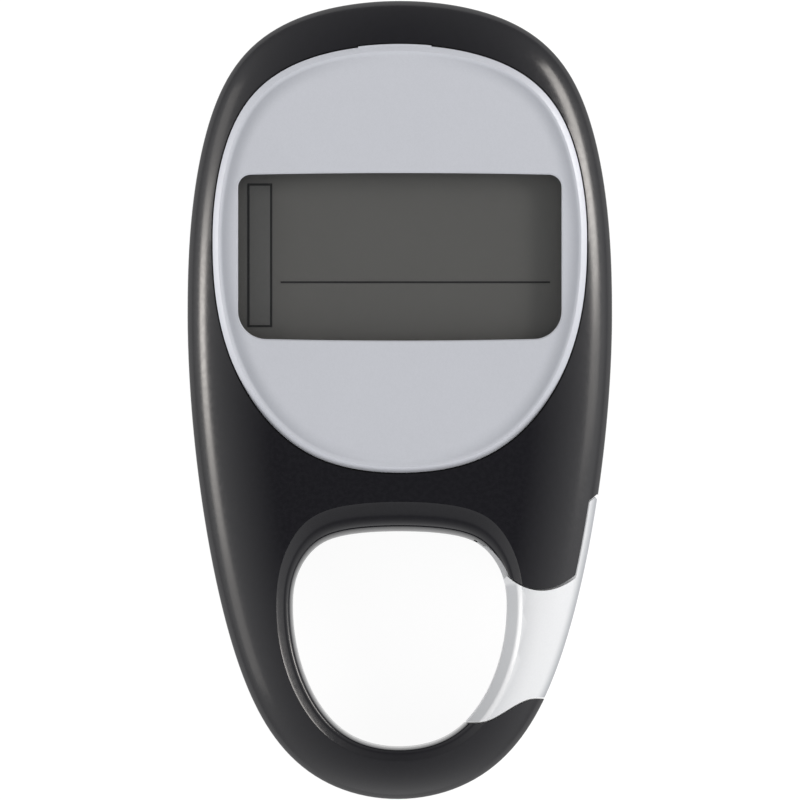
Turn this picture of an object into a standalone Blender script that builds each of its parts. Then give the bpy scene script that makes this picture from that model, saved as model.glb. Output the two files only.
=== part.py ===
"""A pocket pedometer whose case ends in a loop with a sprung gate.

Metres. It lies on its back: +Z points out of the display, +Y from the loop to the display,
and +X to the side of the gate. The origin is under the middle of the case, on its back.
"""

import math
from collections import namedtuple

import bmesh
import bpy

MM = 0.001

# Clearances
SEAT_GAP = 0.3 * MM
OVERRUN = 1.0 * MM
EMBED = 0.2 * MM

# Case
BODY_LENGTH = 71.0 * MM
BODY_WIDTH = 37.8 * MM
BODY_DEPTH = 12.0 * MM
BACK_ROLL = 2.6 * MM
CROWN_REACH = 6.0 * MM
CROWN_RISE = 2.6 * MM
WALL_DRAFT = 0.15 * MM
SIDE_WALL = 1.7 * MM
TOP_WALL = 1.8 * MM
BACK_WALL = 1.3 * MM
FRONT_WALL = 0.8 * MM
TONGUE_WALL = 0.8 * MM
TONGUE_RISE = 1.0 * MM
TONGUE_ROOT = 1.6 * MM
TONGUE_DROP = 0.5 * MM

# Carabiner loop
LOOP_LENGTH = 19.2 * MM
LOOP_SIDE_WALL = 9.38 * MM
LOOP_FOOT_WALL = 4.63 * MM
LOOP_ROOF = 3.1 * MM
LIP_DEPTH = 0.9 * MM
LIP_SIDE = 1.46 * MM
LIP_TOP = 2.67 * MM
LIP_FOOT = 1.3 * MM
LIP_TURN_DEG = 60
RIB_WALL = 0.9 * MM
RIB_SIDE = 2.3 * MM
RIB_TOP = 1.1 * MM
RIB_FOOT = 1.7 * MM

# Gate and its hinge
PIVOT_INSET = 6.13 * MM
PIVOT_DROP = 0.6 * MM
EAR_RADIUS = 4.54 * MM
EAR_THICKNESS = 1.35 * MM
KNUCKLE_RADIUS = 5.87 * MM
GATE_INSET = 0.2 * MM
NOSE_RISE = 2.15 * MM
TIP_STEP = 2.15 * MM
TIP_STEP_RUN = 5.2 * MM
TIP_STEP_INSET = 5.8 * MM
GATE_REACH = 8.0 * MM
EAR_CORNER = (5.12 * MM, 0.71 * MM)
EAR_START_DEG = 207
GATE_START_DEG = 226
EAR_END_DEG = 335
PIN_RADIUS = 1.0 * MM
PIN_HOLE_RADIUS = 1.25 * MM
PIN_SEAT = 0.8 * MM

# Gate spring
SPRING_WIRE = 0.4 * MM
SPRING_RADIUS = 1.85 * MM
SPRING_PITCH = 0.55 * MM
SPRING_TURNS = 2.75
SPRING_BEND = 3.0 * MM
SPRING_TURN_POINTS = 10
SPRING_LIFT = 0.55 * MM
SPRING_ARM = 6.45 * MM
SPRING_TAIL = 3.5 * MM
SPRING_WELL_RADIUS = 2.6 * MM
SPRING_WELL_DEPTH = 2.5 * MM
SPRING_SLOT = 1.0 * MM
SPRING_RELIEF = 3.6 * MM
SPRING_RELIEF_DEPTH = 1.1 * MM

# Faceplate and window
PLATE_SIDE_MARGIN = 2.33 * MM
PLATE_TOP_MARGIN = 3.78 * MM
PLATE_FOOT_MARGIN = 5.3 * MM
PLATE_THICKNESS = 0.8 * MM
RIM_BEVEL = 0.35 * MM
RIM_DROP = 0.45 * MM
RIM_WIDTH = 0.55 * MM
VALLEY_INSET = 0.85 * MM
VALLEY_DEPTH = 0.18 * MM
FIELD_INSET = 1.6 * MM
FIELD_DROP = 0.08 * MM
WINDOW_WIDTH = 28.8 * MM
WINDOW_HEIGHT = 14.86 * MM
WINDOW_DROP = 22.7 * MM
WINDOW_TOP_CORNER = 0.9 * MM
WINDOW_FOOT_CORNER = 2.5 * MM
WINDOW_ARCH = 0.27 * MM

# Display
LENS_THICKNESS = 0.7 * MM
LENS_MARGIN = 0.8 * MM
LENS_CORNER = 1.2 * MM
LCD_GLASS = 0.9 * MM
LCD_MARGIN = 0.8 * MM
LCD_LEDGE = 2.2 * MM
HOLDER_MARGIN = 0.6 * MM
HOLDER_RAIL = 3.2 * MM
ZEBRA_WIDTH = 1.7 * MM
ZEBRA_MARGIN = 1.5 * MM

# Circuit board and what it carries
BOARD_THICKNESS = 0.8 * MM
BLOB_RADIUS = 4.0 * MM
SENSOR_SIDE = 3.0 * MM
SENSOR_RISE = 0.9 * MM
SENSOR_PLACE = (-5.0 * MM, -12.8 * MM)
CRYSTAL_RADIUS = 1.0 * MM
CRYSTAL_LENGTH = 6.0 * MM
CRYSTAL_EDGE = 0.2 * MM
CRYSTAL_PLACE = (3.8 * MM, -11.8 * MM)
CHIP_LENGTH = 1.6 * MM
CHIP_SIDE = 0.8 * MM
CHIP_ROW = -16.2 * MM
CHIP_PITCH = 3.0 * MM

# Battery, its well and its cover
BATTERY_RADIUS = 10.0 * MM
BATTERY_THICKNESS = 3.2 * MM
BATTERY_CAP_INSET = 1.2 * MM
BATTERY_CAP_RISE = 0.4 * MM
BATTERY_BEVEL = 0.3 * MM
BATTERY_DROP = 22.0 * MM
WELL_WALL = 1.2 * MM
WELL_RIM = 0.4 * MM
LEDGE_WIDTH = 1.3 * MM
LEDGE_WALL = 1.2 * MM
LEDGE_THICKNESS = 0.9 * MM
COVER_THICKNESS = 1.4 * MM
COVER_BEVEL = 0.2 * MM
COVER_TAB_REACH = 2.4 * MM
COVER_TAB_RADIUS = 2.6 * MM
CONTACT_THICKNESS = 0.3 * MM
CONTACT_WIDTH = 3.6 * MM
CONTACT_FOOT = 2.6 * MM
CONTACT_LENGTH = 14.0 * MM

# Buttons
BUTTON_RISE = 8.9 * MM
BUTTON_PITCH = 6.8 * MM
BUTTON_RADIUS = 2.0 * MM
BUTTON_RECESS = 0.15 * MM
BUTTON_BEVEL = 0.25 * MM
BUTTON_FLANGE = 0.8 * MM
BUTTON_FLANGE_RISE = 0.6 * MM
BUTTON_STEM_RADIUS = 1.0 * MM
BUTTON_TRAVEL = 0.3 * MM
BUTTON_STOP = 0.1 * MM
BUTTON_DISH_DEPTH = 0.5 * MM
BUTTON_DISH_MARGIN = 1.4 * MM
DOME_RADIUS = 2.0 * MM
DOME_RISE = 0.6 * MM
DOME_RIM = 0.2 * MM
DOME_STEPS = 3

# Screws
SCREW_RADIUS = 0.7 * MM
SCREW_HEAD_RADIUS = 1.3 * MM
SCREW_HEAD_RISE = 0.8 * MM
SCREW_HEAD_BEVEL = 0.25 * MM
SCREW_SINK = 0.4 * MM
SCREW_LENGTH = 7.0 * MM
COVER_SCREW_SINK = 0.1 * MM
COVER_SCREW_HEAD_RISE = 0.6 * MM
COVER_SCREW_LENGTH = 3.4 * MM
SLOT_WIDTH = 0.3 * MM
SLOT_LENGTH = 1.5 * MM
SLOT_DEPTH = 0.4 * MM
SCREW_TIP = 0.4 * MM
BOSS_RADIUS = 2.1 * MM
TOP_SCREW_PLACE = (9.1 * MM, 7.9 * MM)
MID_SCREW_PLACE = (13.6 * MM, 7.67 * MM)
LOOP_SCREW_PLACE = (12.2 * MM, -0.63 * MM)

# Shapes of the egg outlines: the height of the widest place, and the roundness of each end
BODY_WIDEST_SHARE = 0.615
PLATE_WIDEST_SHARE = 0.541
LOOP_WIDEST_SHARE = 0.653
BODY_UPPER_POWERS = (2.77, 0.361)
BODY_LOWER_POWERS = (1.85, 0.36)
PLATE_UPPER_POWERS = (2.5, 0.385)
PLATE_LOWER_POWERS = (2.2, 0.41)
LOOP_UPPER_POWERS = (2.5, 0.34)
LOOP_LOWER_POWERS = (2.0, 0.45)

# Counts of points and steps
BODY_POINTS = 88
PLATE_POINTS = 72
LOOP_POINTS = 64
FINE_STEPS = 720
ROLL_STEPS = 5
CROWN_STEPS = 7
LIP_STEPS = 4
CORNER_STEPS = 5
ARC_STEPS = 14
NOSE_STEPS = 10
ROUND_STEPS = 24
WELL_STEPS = 48
BUTTON_STEPS = 24
SCREW_STEPS = 16
WIRE_BEVEL_RESOLUTION = 1
SHARP_ANGLE = math.radians(30)
MERGE = 0.00001

# Heights, from the back up
TOP = BODY_DEPTH
MIDDLE = BODY_DEPTH / 2
PLATE_LOW = TOP - PLATE_THICKNESS
RECESS_FLOOR = PLATE_LOW - SEAT_GAP
LENS_HIGH = PLATE_LOW - SEAT_GAP
LENS_LOW = LENS_HIGH - LENS_THICKNESS
CEILING = RECESS_FLOOR - FRONT_WALL
LCD_HIGH = CEILING - SEAT_GAP
LCD_LEDGE_LOW = LCD_HIGH - LCD_GLASS
LCD_LOW = LCD_LEDGE_LOW - LCD_GLASS
BATTERY_LOW = COVER_THICKNESS + SEAT_GAP
BATTERY_HIGH = BATTERY_LOW + BATTERY_THICKNESS
CONTACT_LOW = BATTERY_HIGH + SEAT_GAP
CONTACT_HIGH = CONTACT_LOW + CONTACT_THICKNESS
BOARD_LOW = CONTACT_HIGH + SEAT_GAP
BOARD_HIGH = BOARD_LOW + BOARD_THICKNESS
PARTS_LOW = BOARD_HIGH + SEAT_GAP
HOLDER_RISE = LCD_LOW - SEAT_GAP - PARTS_LOW
DOME_HIGH = BOARD_LOW - SEAT_GAP
DOME_LOW = DOME_HIGH - DOME_RISE

# Places in plan
BODY_TOP = BODY_LENGTH / 2
BODY_FOOT = -BODY_LENGTH / 2
LOOP_FOOT = BODY_FOOT + LOOP_FOOT_WALL
LOOP_TOP = LOOP_FOOT + LOOP_LENGTH
PIVOT_X = BODY_WIDTH / 2 - PIVOT_INSET
PIVOT_Y = LOOP_TOP - PIVOT_DROP
OUTSIDE_X = BODY_WIDTH / 2 + OVERRUN
POD_Y = BODY_TOP - WINDOW_DROP
BATTERY_Y = BODY_TOP - BATTERY_DROP
BUTTON_Y = LOOP_TOP + BUTTON_RISE
BUTTONS = {"mode": -BUTTON_PITCH, "set": 0, "reset": BUTTON_PITCH}
CASE_SCREWS = [
    (-TOP_SCREW_PLACE[0], BODY_TOP - TOP_SCREW_PLACE[1]),
    (TOP_SCREW_PLACE[0], BODY_TOP - TOP_SCREW_PLACE[1]),
    (-MID_SCREW_PLACE[0], LOOP_TOP + MID_SCREW_PLACE[1]),
    (MID_SCREW_PLACE[0], LOOP_TOP + MID_SCREW_PLACE[1]),
    (-LOOP_SCREW_PLACE[0], LOOP_TOP + LOOP_SCREW_PLACE[1]),
]
BOSSED_SCREWS = CASE_SCREWS[:2]
COVER_SCREW_Y = BATTERY_Y + BATTERY_RADIUS + COVER_TAB_REACH

Egg = namedtuple("Egg", "half_width top foot widest upper_powers lower_powers points")

BODY = Egg(
    BODY_WIDTH / 2, BODY_TOP, BODY_FOOT, BODY_FOOT + BODY_LENGTH * BODY_WIDEST_SHARE,
    BODY_UPPER_POWERS, BODY_LOWER_POWERS, BODY_POINTS,
)
LOOP = Egg(
    BODY_WIDTH / 2 - LOOP_SIDE_WALL, LOOP_TOP, LOOP_FOOT, LOOP_FOOT + LOOP_LENGTH * LOOP_WIDEST_SHARE,
    LOOP_UPPER_POWERS, LOOP_LOWER_POWERS, LOOP_POINTS,
)


def plate_like(half_width, top, foot):
    """An egg of the faceplate's kind between two heights."""
    widest = foot + (top - foot) * PLATE_WIDEST_SHARE
    return Egg(half_width, top, foot, widest, PLATE_UPPER_POWERS, PLATE_LOWER_POWERS, PLATE_POINTS)


PLATE = plate_like(
    BODY_WIDTH / 2 - PLATE_SIDE_MARGIN, BODY_TOP - PLATE_TOP_MARGIN, LOOP_TOP + PLATE_FOOT_MARGIN,
)
CAVITY = plate_like(BODY_WIDTH / 2 - SIDE_WALL, BODY_TOP - TOP_WALL, LOOP_TOP + LOOP_ROOF)


def clear_scene():
    """Remove whatever the file holds, so that the model stands alone."""
    for thing in list(bpy.data.objects):
        bpy.data.objects.remove(thing, do_unlink=True)


def new_collection(name):
    """A fresh collection in the scene."""
    collection = bpy.data.collections.new(name)
    bpy.context.scene.collection.children.link(collection)
    return collection


def new_material(name, color, roughness, metallic=0.0, alpha=1.0):
    """A plain shaded material for one piece."""
    material = bpy.data.materials.new(name)
    material.use_nodes = True
    shader = material.node_tree.nodes["Principled BSDF"]
    shader.inputs["Base Color"].default_value = (*color, 1.0)
    shader.inputs["Roughness"].default_value = roughness
    shader.inputs["Metallic"].default_value = metallic
    shader.inputs["Alpha"].default_value = alpha
    material.diffuse_color = (*color, 1.0)
    return material


def place(name, data, material=None, at=(0, 0, 0)):
    """Put a mesh or curve in the scene, as a piece with a material or as a cutter without."""
    thing = bpy.data.objects.new(name, data)
    thing.location = at
    if material is None:
        tools.objects.link(thing)
        thing.hide_render = True
        thing.display_type = "WIRE"
        return thing
    pieces.objects.link(thing)
    data.materials.append(material)
    return thing


def mesh_from(bm, name):
    """Close a bmesh into a named mesh with soft shading and its sharp edges kept."""
    bmesh.ops.recalc_face_normals(bm, faces=bm.faces[:])
    mesh = bpy.data.meshes.new(name)
    bm.to_mesh(mesh)
    bm.free()
    mesh.shade_smooth()
    mesh.set_sharp_from_angle(angle=SHARP_ANGLE)
    return mesh


def stacked(name, levels):
    """A closed mesh that rises through flat outlines of one point count, each at its height."""
    bm = bmesh.new()
    outline, height = levels[0]
    base = bm.faces.new([bm.verts.new((x, y, height)) for x, y in outline])
    cap = base
    for outline, height in levels[1:]:
        raised = bmesh.ops.extrude_face_region(bm, geom=[cap])["geom"]
        if cap is not base:
            bmesh.ops.delete(bm, geom=[cap], context="FACES_ONLY")
        cap = next(item for item in raised if isinstance(item, bmesh.types.BMFace))
        for vert, (x, y) in zip(cap.verts, outline):
            vert.co = (x, y, height)
    return mesh_from(bm, name)


def prism(name, outline, low, high):
    """A flat outline drawn up from one height to another."""
    return stacked(name, [(outline, low), (outline, high)])


def block(name, low, high):
    """A box between two corners."""
    bm = bmesh.new()
    bmesh.ops.create_cube(bm, size=1)
    for vert in bm.verts:
        vert.co = [(a + b) / 2 + share * (b - a) for a, b, share in zip(low, high, vert.co)]
    return mesh_from(bm, name)


def disc(center, radius, steps=ROUND_STEPS):
    """Points around a circle."""
    turns = [math.tau * step / steps for step in range(steps)]
    return [(center[0] + radius * math.cos(turn), center[1] + radius * math.sin(turn)) for turn in turns]


def arc(center, radius, start, end, steps=CORNER_STEPS):
    """Points along an arc between two angles in degrees."""
    turns = [math.radians(start + (end - start) * step / steps) for step in range(steps + 1)]
    return [(center[0] + radius * math.cos(turn), center[1] + radius * math.sin(turn)) for turn in turns]


def turned(name, profile, material, at, steps=ROUND_STEPS):
    """A piece turned about its own upright axis from a profile of (radius, height), top to bottom."""
    mesh = bpy.data.meshes.new(name)
    edges = [(index, index + 1) for index in range(len(profile) - 1)]
    mesh.from_pydata([(radius, 0, height) for radius, height in profile], edges, [])
    thing = place(name, mesh, material, at)
    screw = thing.modifiers.new("turn", "SCREW")
    screw.steps = steps
    screw.render_steps = steps
    screw.use_merge_vertices = True
    screw.merge_threshold = MERGE
    screw.use_smooth_shade = True
    return thing


def combine(thing, operation, *others):
    """Cut, join or keep what is common, one exact Boolean for each other object."""
    for other in others:
        boolean = thing.modifiers.new(other.name, "BOOLEAN")
        boolean.operation = operation
        boolean.object = other
        boolean.solver = "EXACT"


def cut(thing, *others):
    combine(thing, "DIFFERENCE", *others)


def join(thing, *others):
    combine(thing, "UNION", *others)


def settle(thing):
    """Replace a modified object's mesh by the result, so that copies can share it."""
    bpy.context.view_layer.update()
    evaluated = thing.evaluated_get(bpy.context.evaluated_depsgraph_get())
    mesh = bpy.data.meshes.new_from_object(evaluated)
    thing.modifiers.clear()
    thing.data = mesh
    return mesh


def grown(egg, side, top=None, foot=None):
    """The same egg with more on its sides, top and foot, or less where that is negative."""
    top = side if top is None else top
    foot = side if foot is None else foot
    return egg._replace(half_width=egg.half_width + side, top=egg.top + top, foot=egg.foot - foot)


def outline_of(egg):
    """Points around an egg from its top to the left, evenly spaced."""
    fine = []
    for step in range(FINE_STEPS + 1):
        turn = math.tau * step / FINE_STEPS
        upper = math.cos(turn) >= 0
        y_power, x_power = egg.upper_powers if upper else egg.lower_powers
        reach = egg.top - egg.widest if upper else egg.foot - egg.widest
        x = egg.half_width * abs(math.sin(turn)) ** (2 * x_power)
        y = egg.widest + reach * abs(math.cos(turn)) ** (2 / y_power)
        fine.append((-x if turn < math.pi else x, y))
    runs = [0]
    for start, end in zip(fine, fine[1:]):
        runs.append(runs[-1] + math.dist(start, end))
    points = []
    index = 0
    for step in range(egg.points):
        run = runs[-1] * step / egg.points
        while runs[index + 1] <= run:
            index += 1
        share = (run - runs[index]) / (runs[index + 1] - runs[index])
        points.append(tuple(a + (b - a) * share for a, b in zip(fine[index], fine[index + 1])))
    return points


def round_over(reach, rise, steps, turn_deg=90):
    """Steps of (how far in, how far up) round an oval from its side, for a quarter turn or less."""
    end = math.radians(turn_deg)
    turns = [end * step / steps for step in range(steps + 1)]
    return [
        (reach * (1 - math.cos(turn)) / (1 - math.cos(end)), rise * math.sin(turn) / math.sin(end))
        for turn in turns
    ]


def front_levels(inset, start):
    """Body outlines from a height near the middle, up a drafted wall and over the crowned front."""
    wall_high = TOP - inset - CROWN_RISE
    levels = [(outline_of(grown(BODY, -inset)), start)]
    for step_in, step_up in round_over(CROWN_REACH, CROWN_RISE, CROWN_STEPS):
        levels.append((outline_of(grown(BODY, -inset - WALL_DRAFT - step_in)), wall_high + step_up))
    return levels


def back_levels(inset, start):
    """Body outlines from the back up its rolled edge to a height near the middle."""
    levels = [(outline_of(grown(BODY, -inset)), start)]
    for step_in, step_up in round_over(BACK_ROLL, MIDDLE - inset, ROLL_STEPS)[1:]:
        levels.append((outline_of(grown(BODY, -inset - step_in)), MIDDLE - step_up))
    return levels[::-1]


def rib_ring(name, slack, low, high):
    """A ring round the loop, for the rib on the rear shell or, with slack, the front's groove."""
    def outline(more):
        return outline_of(grown(LOOP, RIB_SIDE + more, RIB_TOP + more, RIB_FOOT + more))

    ring = place(name, prism(name, outline(RIB_WALL + slack), low, high))
    cut(ring, place(name, prism(name, outline(-slack), low - OVERRUN, high + OVERRUN)))
    return ring


def loop_cutter():
    """The hole of the loop with a rounded lip at both faces."""
    def ring(share):
        return outline_of(grown(LOOP, LIP_SIDE * share, LIP_TOP * share, LIP_FOOT * share))

    steps = round_over(1, LIP_DEPTH, LIP_STEPS, LIP_TURN_DEG)
    lip = [(ring(share), LIP_DEPTH - rise) for share, rise in steps]
    back = [(ring(1), -OVERRUN)] + lip[::-1]
    front = [(outline, TOP - height) for outline, height in back[::-1]]
    return place("cut_loop", stacked("cut_loop", back + front))


def nose_height(x):
    """Height in plan of the step where the gate's tip meets the nose."""
    run = (x - (PIVOT_X - TIP_STEP_INSET)) / TIP_STEP_RUN
    run = min(max(run, 0), 1)
    return LOOP_FOOT + NOSE_RISE + TIP_STEP * run * run * (3 - 2 * run)


def nose_line(lift):
    """The step between nose and gate, from outside the case to inside the loop."""
    start = PIVOT_X - TIP_STEP_INSET
    steps = [start + TIP_STEP_RUN * step / NOSE_STEPS for step in range(NOSE_STEPS, -1, -1)]
    across = [OUTSIDE_X] + steps + [PIVOT_X - GATE_REACH]
    return [(x, nose_height(x) + lift) for x in across]


def gate_window():
    """Plan of the opening in the case where the gate swings: under the ear, down to the nose."""
    ear = arc((PIVOT_X, PIVOT_Y), EAR_RADIUS, EAR_START_DEG, EAR_END_DEG, ARC_STEPS)
    corner = (PIVOT_X - EAR_CORNER[0], PIVOT_Y - EAR_CORNER[1])
    inside = (PIVOT_X - GATE_REACH, corner[1])
    return ear + [(OUTSIDE_X, ear[-1][1])] + nose_line(0) + [inside, corner]


def gate_plan():
    """Plan of the gate's full-depth bar, before the case outline and the loop trim it."""
    shoulder_radius = EAR_RADIUS + SEAT_GAP
    shoulder = arc((PIVOT_X, PIVOT_Y), shoulder_radius, GATE_START_DEG, EAR_END_DEG, ARC_STEPS)
    start = math.radians(GATE_START_DEG)
    inner = (PIVOT_X + GATE_REACH * math.cos(start), PIVOT_Y + GATE_REACH * math.sin(start))
    return shoulder + [(OUTSIDE_X, shoulder[-1][1])] + nose_line(SEAT_GAP) + [inner]


def window_outline(width, height, top_corner, foot_corner, arch=0):
    """A round-cornered window about the display's middle, with its long sides slightly arched."""
    left, right = -width / 2, width / 2
    high, low = POD_Y + height / 2, POD_Y - height / 2
    corners = [
        (right - top_corner, high - arch - top_corner, top_corner, 0, arch),
        (left + top_corner, high - arch - top_corner, top_corner, 90, 0),
        (left + foot_corner, low + arch + foot_corner, foot_corner, 180, -arch),
        (right - foot_corner, low + arch + foot_corner, foot_corner, 270, 0),
    ]
    points = []
    for x, y, radius, start, bulge in corners:
        points += arc((x, y), radius, start, start + 90)
        if bulge:
            points += arched_side(points[-1], bulge)
    return points


def arched_side(corner, bulge):
    """Points from one corner across to its mirror image, on a side that bulges by a small height."""
    x, y = corner
    shares = [(step + 1) / (CORNER_STEPS + 1) for step in range(CORNER_STEPS)]
    return [(x * (1 - 2 * share), y + bulge * 4 * share * (1 - share)) for share in shares]


def screw_hole(center, low, high):
    """A pilot hole around a case screw."""
    name = "cut_pilot"
    return place(name, prism(name, disc(center, SCREW_RADIUS + SEAT_GAP, SCREW_STEPS), low, high))


def screw_sink(center, depth):
    """A round recess for a screw head in the back."""
    name = "cut_sink"
    return place(name, prism(name, disc(center, SCREW_HEAD_RADIUS + SEAT_GAP), -OVERRUN, depth))


def boss(center, radius, low, high):
    """A round post that a shell carries."""
    return place("add_boss", prism("add_boss", disc(center, radius), low, high))


def screw_top():
    """Height that the case screws reach."""
    return SCREW_SINK + SCREW_HEAD_RISE + SCREW_LENGTH


def gate_room(name, low, high):
    """What both shells lose round the gate between two heights: its window and its knuckle's pocket."""
    window = place(name, prism(name, gate_window(), low, high))
    pocket_radius = KNUCKLE_RADIUS + SEAT_GAP
    pocket = prism(
        name, disc((PIVOT_X, PIVOT_Y), pocket_radius, WELL_STEPS), EAR_THICKNESS, TOP - EAR_THICKNESS,
    )
    hole_low, hole_high = pin_seat()
    pin = prism(name, disc((PIVOT_X, PIVOT_Y), PIN_HOLE_RADIUS), hole_low, hole_high)
    return window, place(name, pocket), place(name, pin)


def pin_seat():
    """Heights of the blind ends of the pin's holes."""
    return EAR_THICKNESS - PIN_SEAT, TOP - EAR_THICKNESS + PIN_SEAT


def build_front_shell(loop):
    """The black front half of the case, with the plate's recess and the display's opening."""
    start = MIDDLE + SEAT_GAP / 2
    shell = place("front_shell", stacked("front_shell", front_levels(0, start)), gloss_black)
    recess = prism("cut_recess", outline_of(grown(PLATE, SEAT_GAP)), RECESS_FLOOR, TOP + OVERRUN)
    cavity = prism("cut_front_cavity", outline_of(CAVITY), MIDDLE - OVERRUN, CEILING)
    opening = window_outline(
        WINDOW_WIDTH + 2 * (LENS_MARGIN + SEAT_GAP), WINDOW_HEIGHT + 2 * (LENS_MARGIN + SEAT_GAP),
        LENS_CORNER, LENS_CORNER,
    )
    cut(shell, place("cut_recess", recess), place("cut_front_cavity", cavity))
    cut(shell, place("cut_lens", prism("cut_lens", opening, CEILING - OVERRUN, RECESS_FLOOR + OVERRUN)))
    join(shell, *[boss(spot, BOSS_RADIUS, start, CEILING + EMBED) for spot in BOSSED_SCREWS])
    cut(shell, rib_ring("cut_groove", SEAT_GAP, MIDDLE - OVERRUN, MIDDLE + TONGUE_RISE + SEAT_GAP))
    cut(shell, loop, *gate_room("cut_front_gate", -OVERRUN, TOP + OVERRUN))
    hole_top = screw_top() + SEAT_GAP
    cut(shell, *[screw_hole(spot, MIDDLE - OVERRUN, hole_top) for spot in CASE_SCREWS])
    return shell


def rear_hollow(shell):
    """Hollow the rear shell out, and leave a tongue that reaches up into the front one."""
    high = MIDDLE + TONGUE_RISE
    plug = prism("add_tongue", outline_of(grown(CAVITY, -SEAT_GAP)), MIDDLE - OVERRUN, high)
    join(shell, place("add_tongue", plug))
    wide = outline_of(CAVITY)
    narrow = outline_of(grown(CAVITY, -SEAT_GAP - TONGUE_WALL))
    hollow = stacked("cut_rear_cavity", [
        (wide, BACK_WALL), (wide, MIDDLE - TONGUE_ROOT), (narrow, MIDDLE - TONGUE_DROP),
        (narrow, high + OVERRUN),
    ])
    cut(shell, place("cut_rear_cavity", hollow))


def cover_plan(slack):
    """The two round shapes that make the battery cover, with slack all round for its seat."""
    main = disc((0, BATTERY_Y), BATTERY_RADIUS + LEDGE_WIDTH + slack, WELL_STEPS)
    tab = disc((0, COVER_SCREW_Y), COVER_TAB_RADIUS + slack)
    return main, tab


def build_rear_shell(loop):
    """The black back half of the case, with the battery's well and the buttons' holes."""
    start = MIDDLE - SEAT_GAP / 2
    shell = place("rear_shell", stacked("rear_shell", back_levels(0, start)), gloss_black)
    rear_hollow(shell)
    join(shell, rib_ring("add_rib", 0, MIDDLE - OVERRUN, MIDDLE + TONGUE_RISE))
    join(shell, *[boss(spot, BOSS_RADIUS, BACK_WALL - EMBED, start) for spot in BOSSED_SCREWS])
    well_inner = BATTERY_RADIUS + SEAT_GAP
    ledge_low = COVER_THICKNESS + SEAT_GAP
    ledge_high = ledge_low + LEDGE_THICKNESS
    well_high = BATTERY_HIGH + WELL_RIM
    ledge_outer = BATTERY_RADIUS + LEDGE_WIDTH + SEAT_GAP + LEDGE_WALL
    join(shell, boss((0, BATTERY_Y), ledge_outer, BACK_WALL - EMBED, ledge_high))
    tab_outer = COVER_TAB_RADIUS + SEAT_GAP + LEDGE_WALL
    join(shell, boss((0, COVER_SCREW_Y), tab_outer, BACK_WALL - EMBED, ledge_high + EMBED))
    join(shell, boss((0, BATTERY_Y), well_inner + WELL_WALL, BACK_WALL - EMBED, well_high))
    join(shell, boss((0, COVER_SCREW_Y), BOSS_RADIUS, BACK_WALL - EMBED, well_high - EMBED))
    bore = prism("cut_bore", disc((0, BATTERY_Y), well_inner, WELL_STEPS), -OVERRUN, TOP)
    cut(shell, place("cut_bore", bore))
    cut(shell, *[boss(spot, BOSS_RADIUS + SEAT_GAP, MIDDLE, TOP) for spot in BOSSED_SCREWS])
    for outline in cover_plan(SEAT_GAP):
        cut(shell, place("cut_cover", prism("cut_cover", outline, -OVERRUN, ledge_low)))
    notch = block(
        "cut_notch",
        (BATTERY_RADIUS, BATTERY_Y - CONTACT_WIDTH / 2 - SEAT_GAP, ledge_low + SEAT_GAP),
        (well_inner + WELL_WALL + OVERRUN, BATTERY_Y + CONTACT_WIDTH / 2 + SEAT_GAP, TOP),
    )
    cut(shell, place("cut_notch", notch))
    cut(shell, screw_hole((0, COVER_SCREW_Y), COVER_THICKNESS, well_high - SEAT_GAP))
    cut_button_holes(shell)
    cut(shell, loop, *gate_room("cut_rear_gate", -OVERRUN, TOP + OVERRUN))
    cut(shell, spring_anchor())
    for spot in CASE_SCREWS:
        cut(shell, screw_sink(spot, SCREW_SINK + SCREW_HEAD_RISE + SEAT_GAP))
        cut(shell, screw_hole(spot, 0, TOP))
    return shell


def cut_button_holes(shell):
    """A shallow dish round the buttons, and a hole for each."""
    radius = BUTTON_RADIUS + BUTTON_DISH_MARGIN
    dish = arc((BUTTON_PITCH, BUTTON_Y), radius, -90, 90, ARC_STEPS)
    dish += arc((-BUTTON_PITCH, BUTTON_Y), radius, 90, 270, ARC_STEPS)
    cut(shell, place("cut_dish", prism("cut_dish", dish, -OVERRUN, BUTTON_DISH_DEPTH)))
    for x in BUTTONS.values():
        hole = disc((x, BUTTON_Y), BUTTON_RADIUS + SEAT_GAP, BUTTON_STEPS)
        cut(shell, place("cut_button", prism("cut_button", hole, -OVERRUN, BACK_WALL + OVERRUN)))


def spring_anchor():
    """The notch in the rear shell that holds the end of the spring's long arm."""
    half = SPRING_SLOT / 2
    low = EAR_THICKNESS + SEAT_GAP
    end = PIVOT_Y + SPRING_ARM + SEAT_GAP
    name = "cut_anchor"
    return place(name, block(name, (PIVOT_X - half, PIVOT_Y, low), (PIVOT_X + half, end, TOP)))


def build_faceplate():
    """The silver panel: a raised rim, a valley inside it, a level field and the display's window."""
    steps = [
        (0, PLATE_LOW), (0, TOP - RIM_DROP), (RIM_BEVEL, TOP), (RIM_WIDTH, TOP),
        (VALLEY_INSET, TOP - VALLEY_DEPTH), (FIELD_INSET, TOP - FIELD_DROP),
    ]
    levels = [(outline_of(grown(PLATE, -inset)), height) for inset, height in steps]
    plate = place("faceplate", stacked("faceplate", levels), satin_silver)
    opening = window_outline(
        WINDOW_WIDTH, WINDOW_HEIGHT, WINDOW_TOP_CORNER, WINDOW_FOOT_CORNER, WINDOW_ARCH,
    )
    cut(plate, place("cut_window", prism("cut_window", opening, PLATE_LOW - OVERRUN, TOP + OVERRUN)))
    return plate


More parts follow.
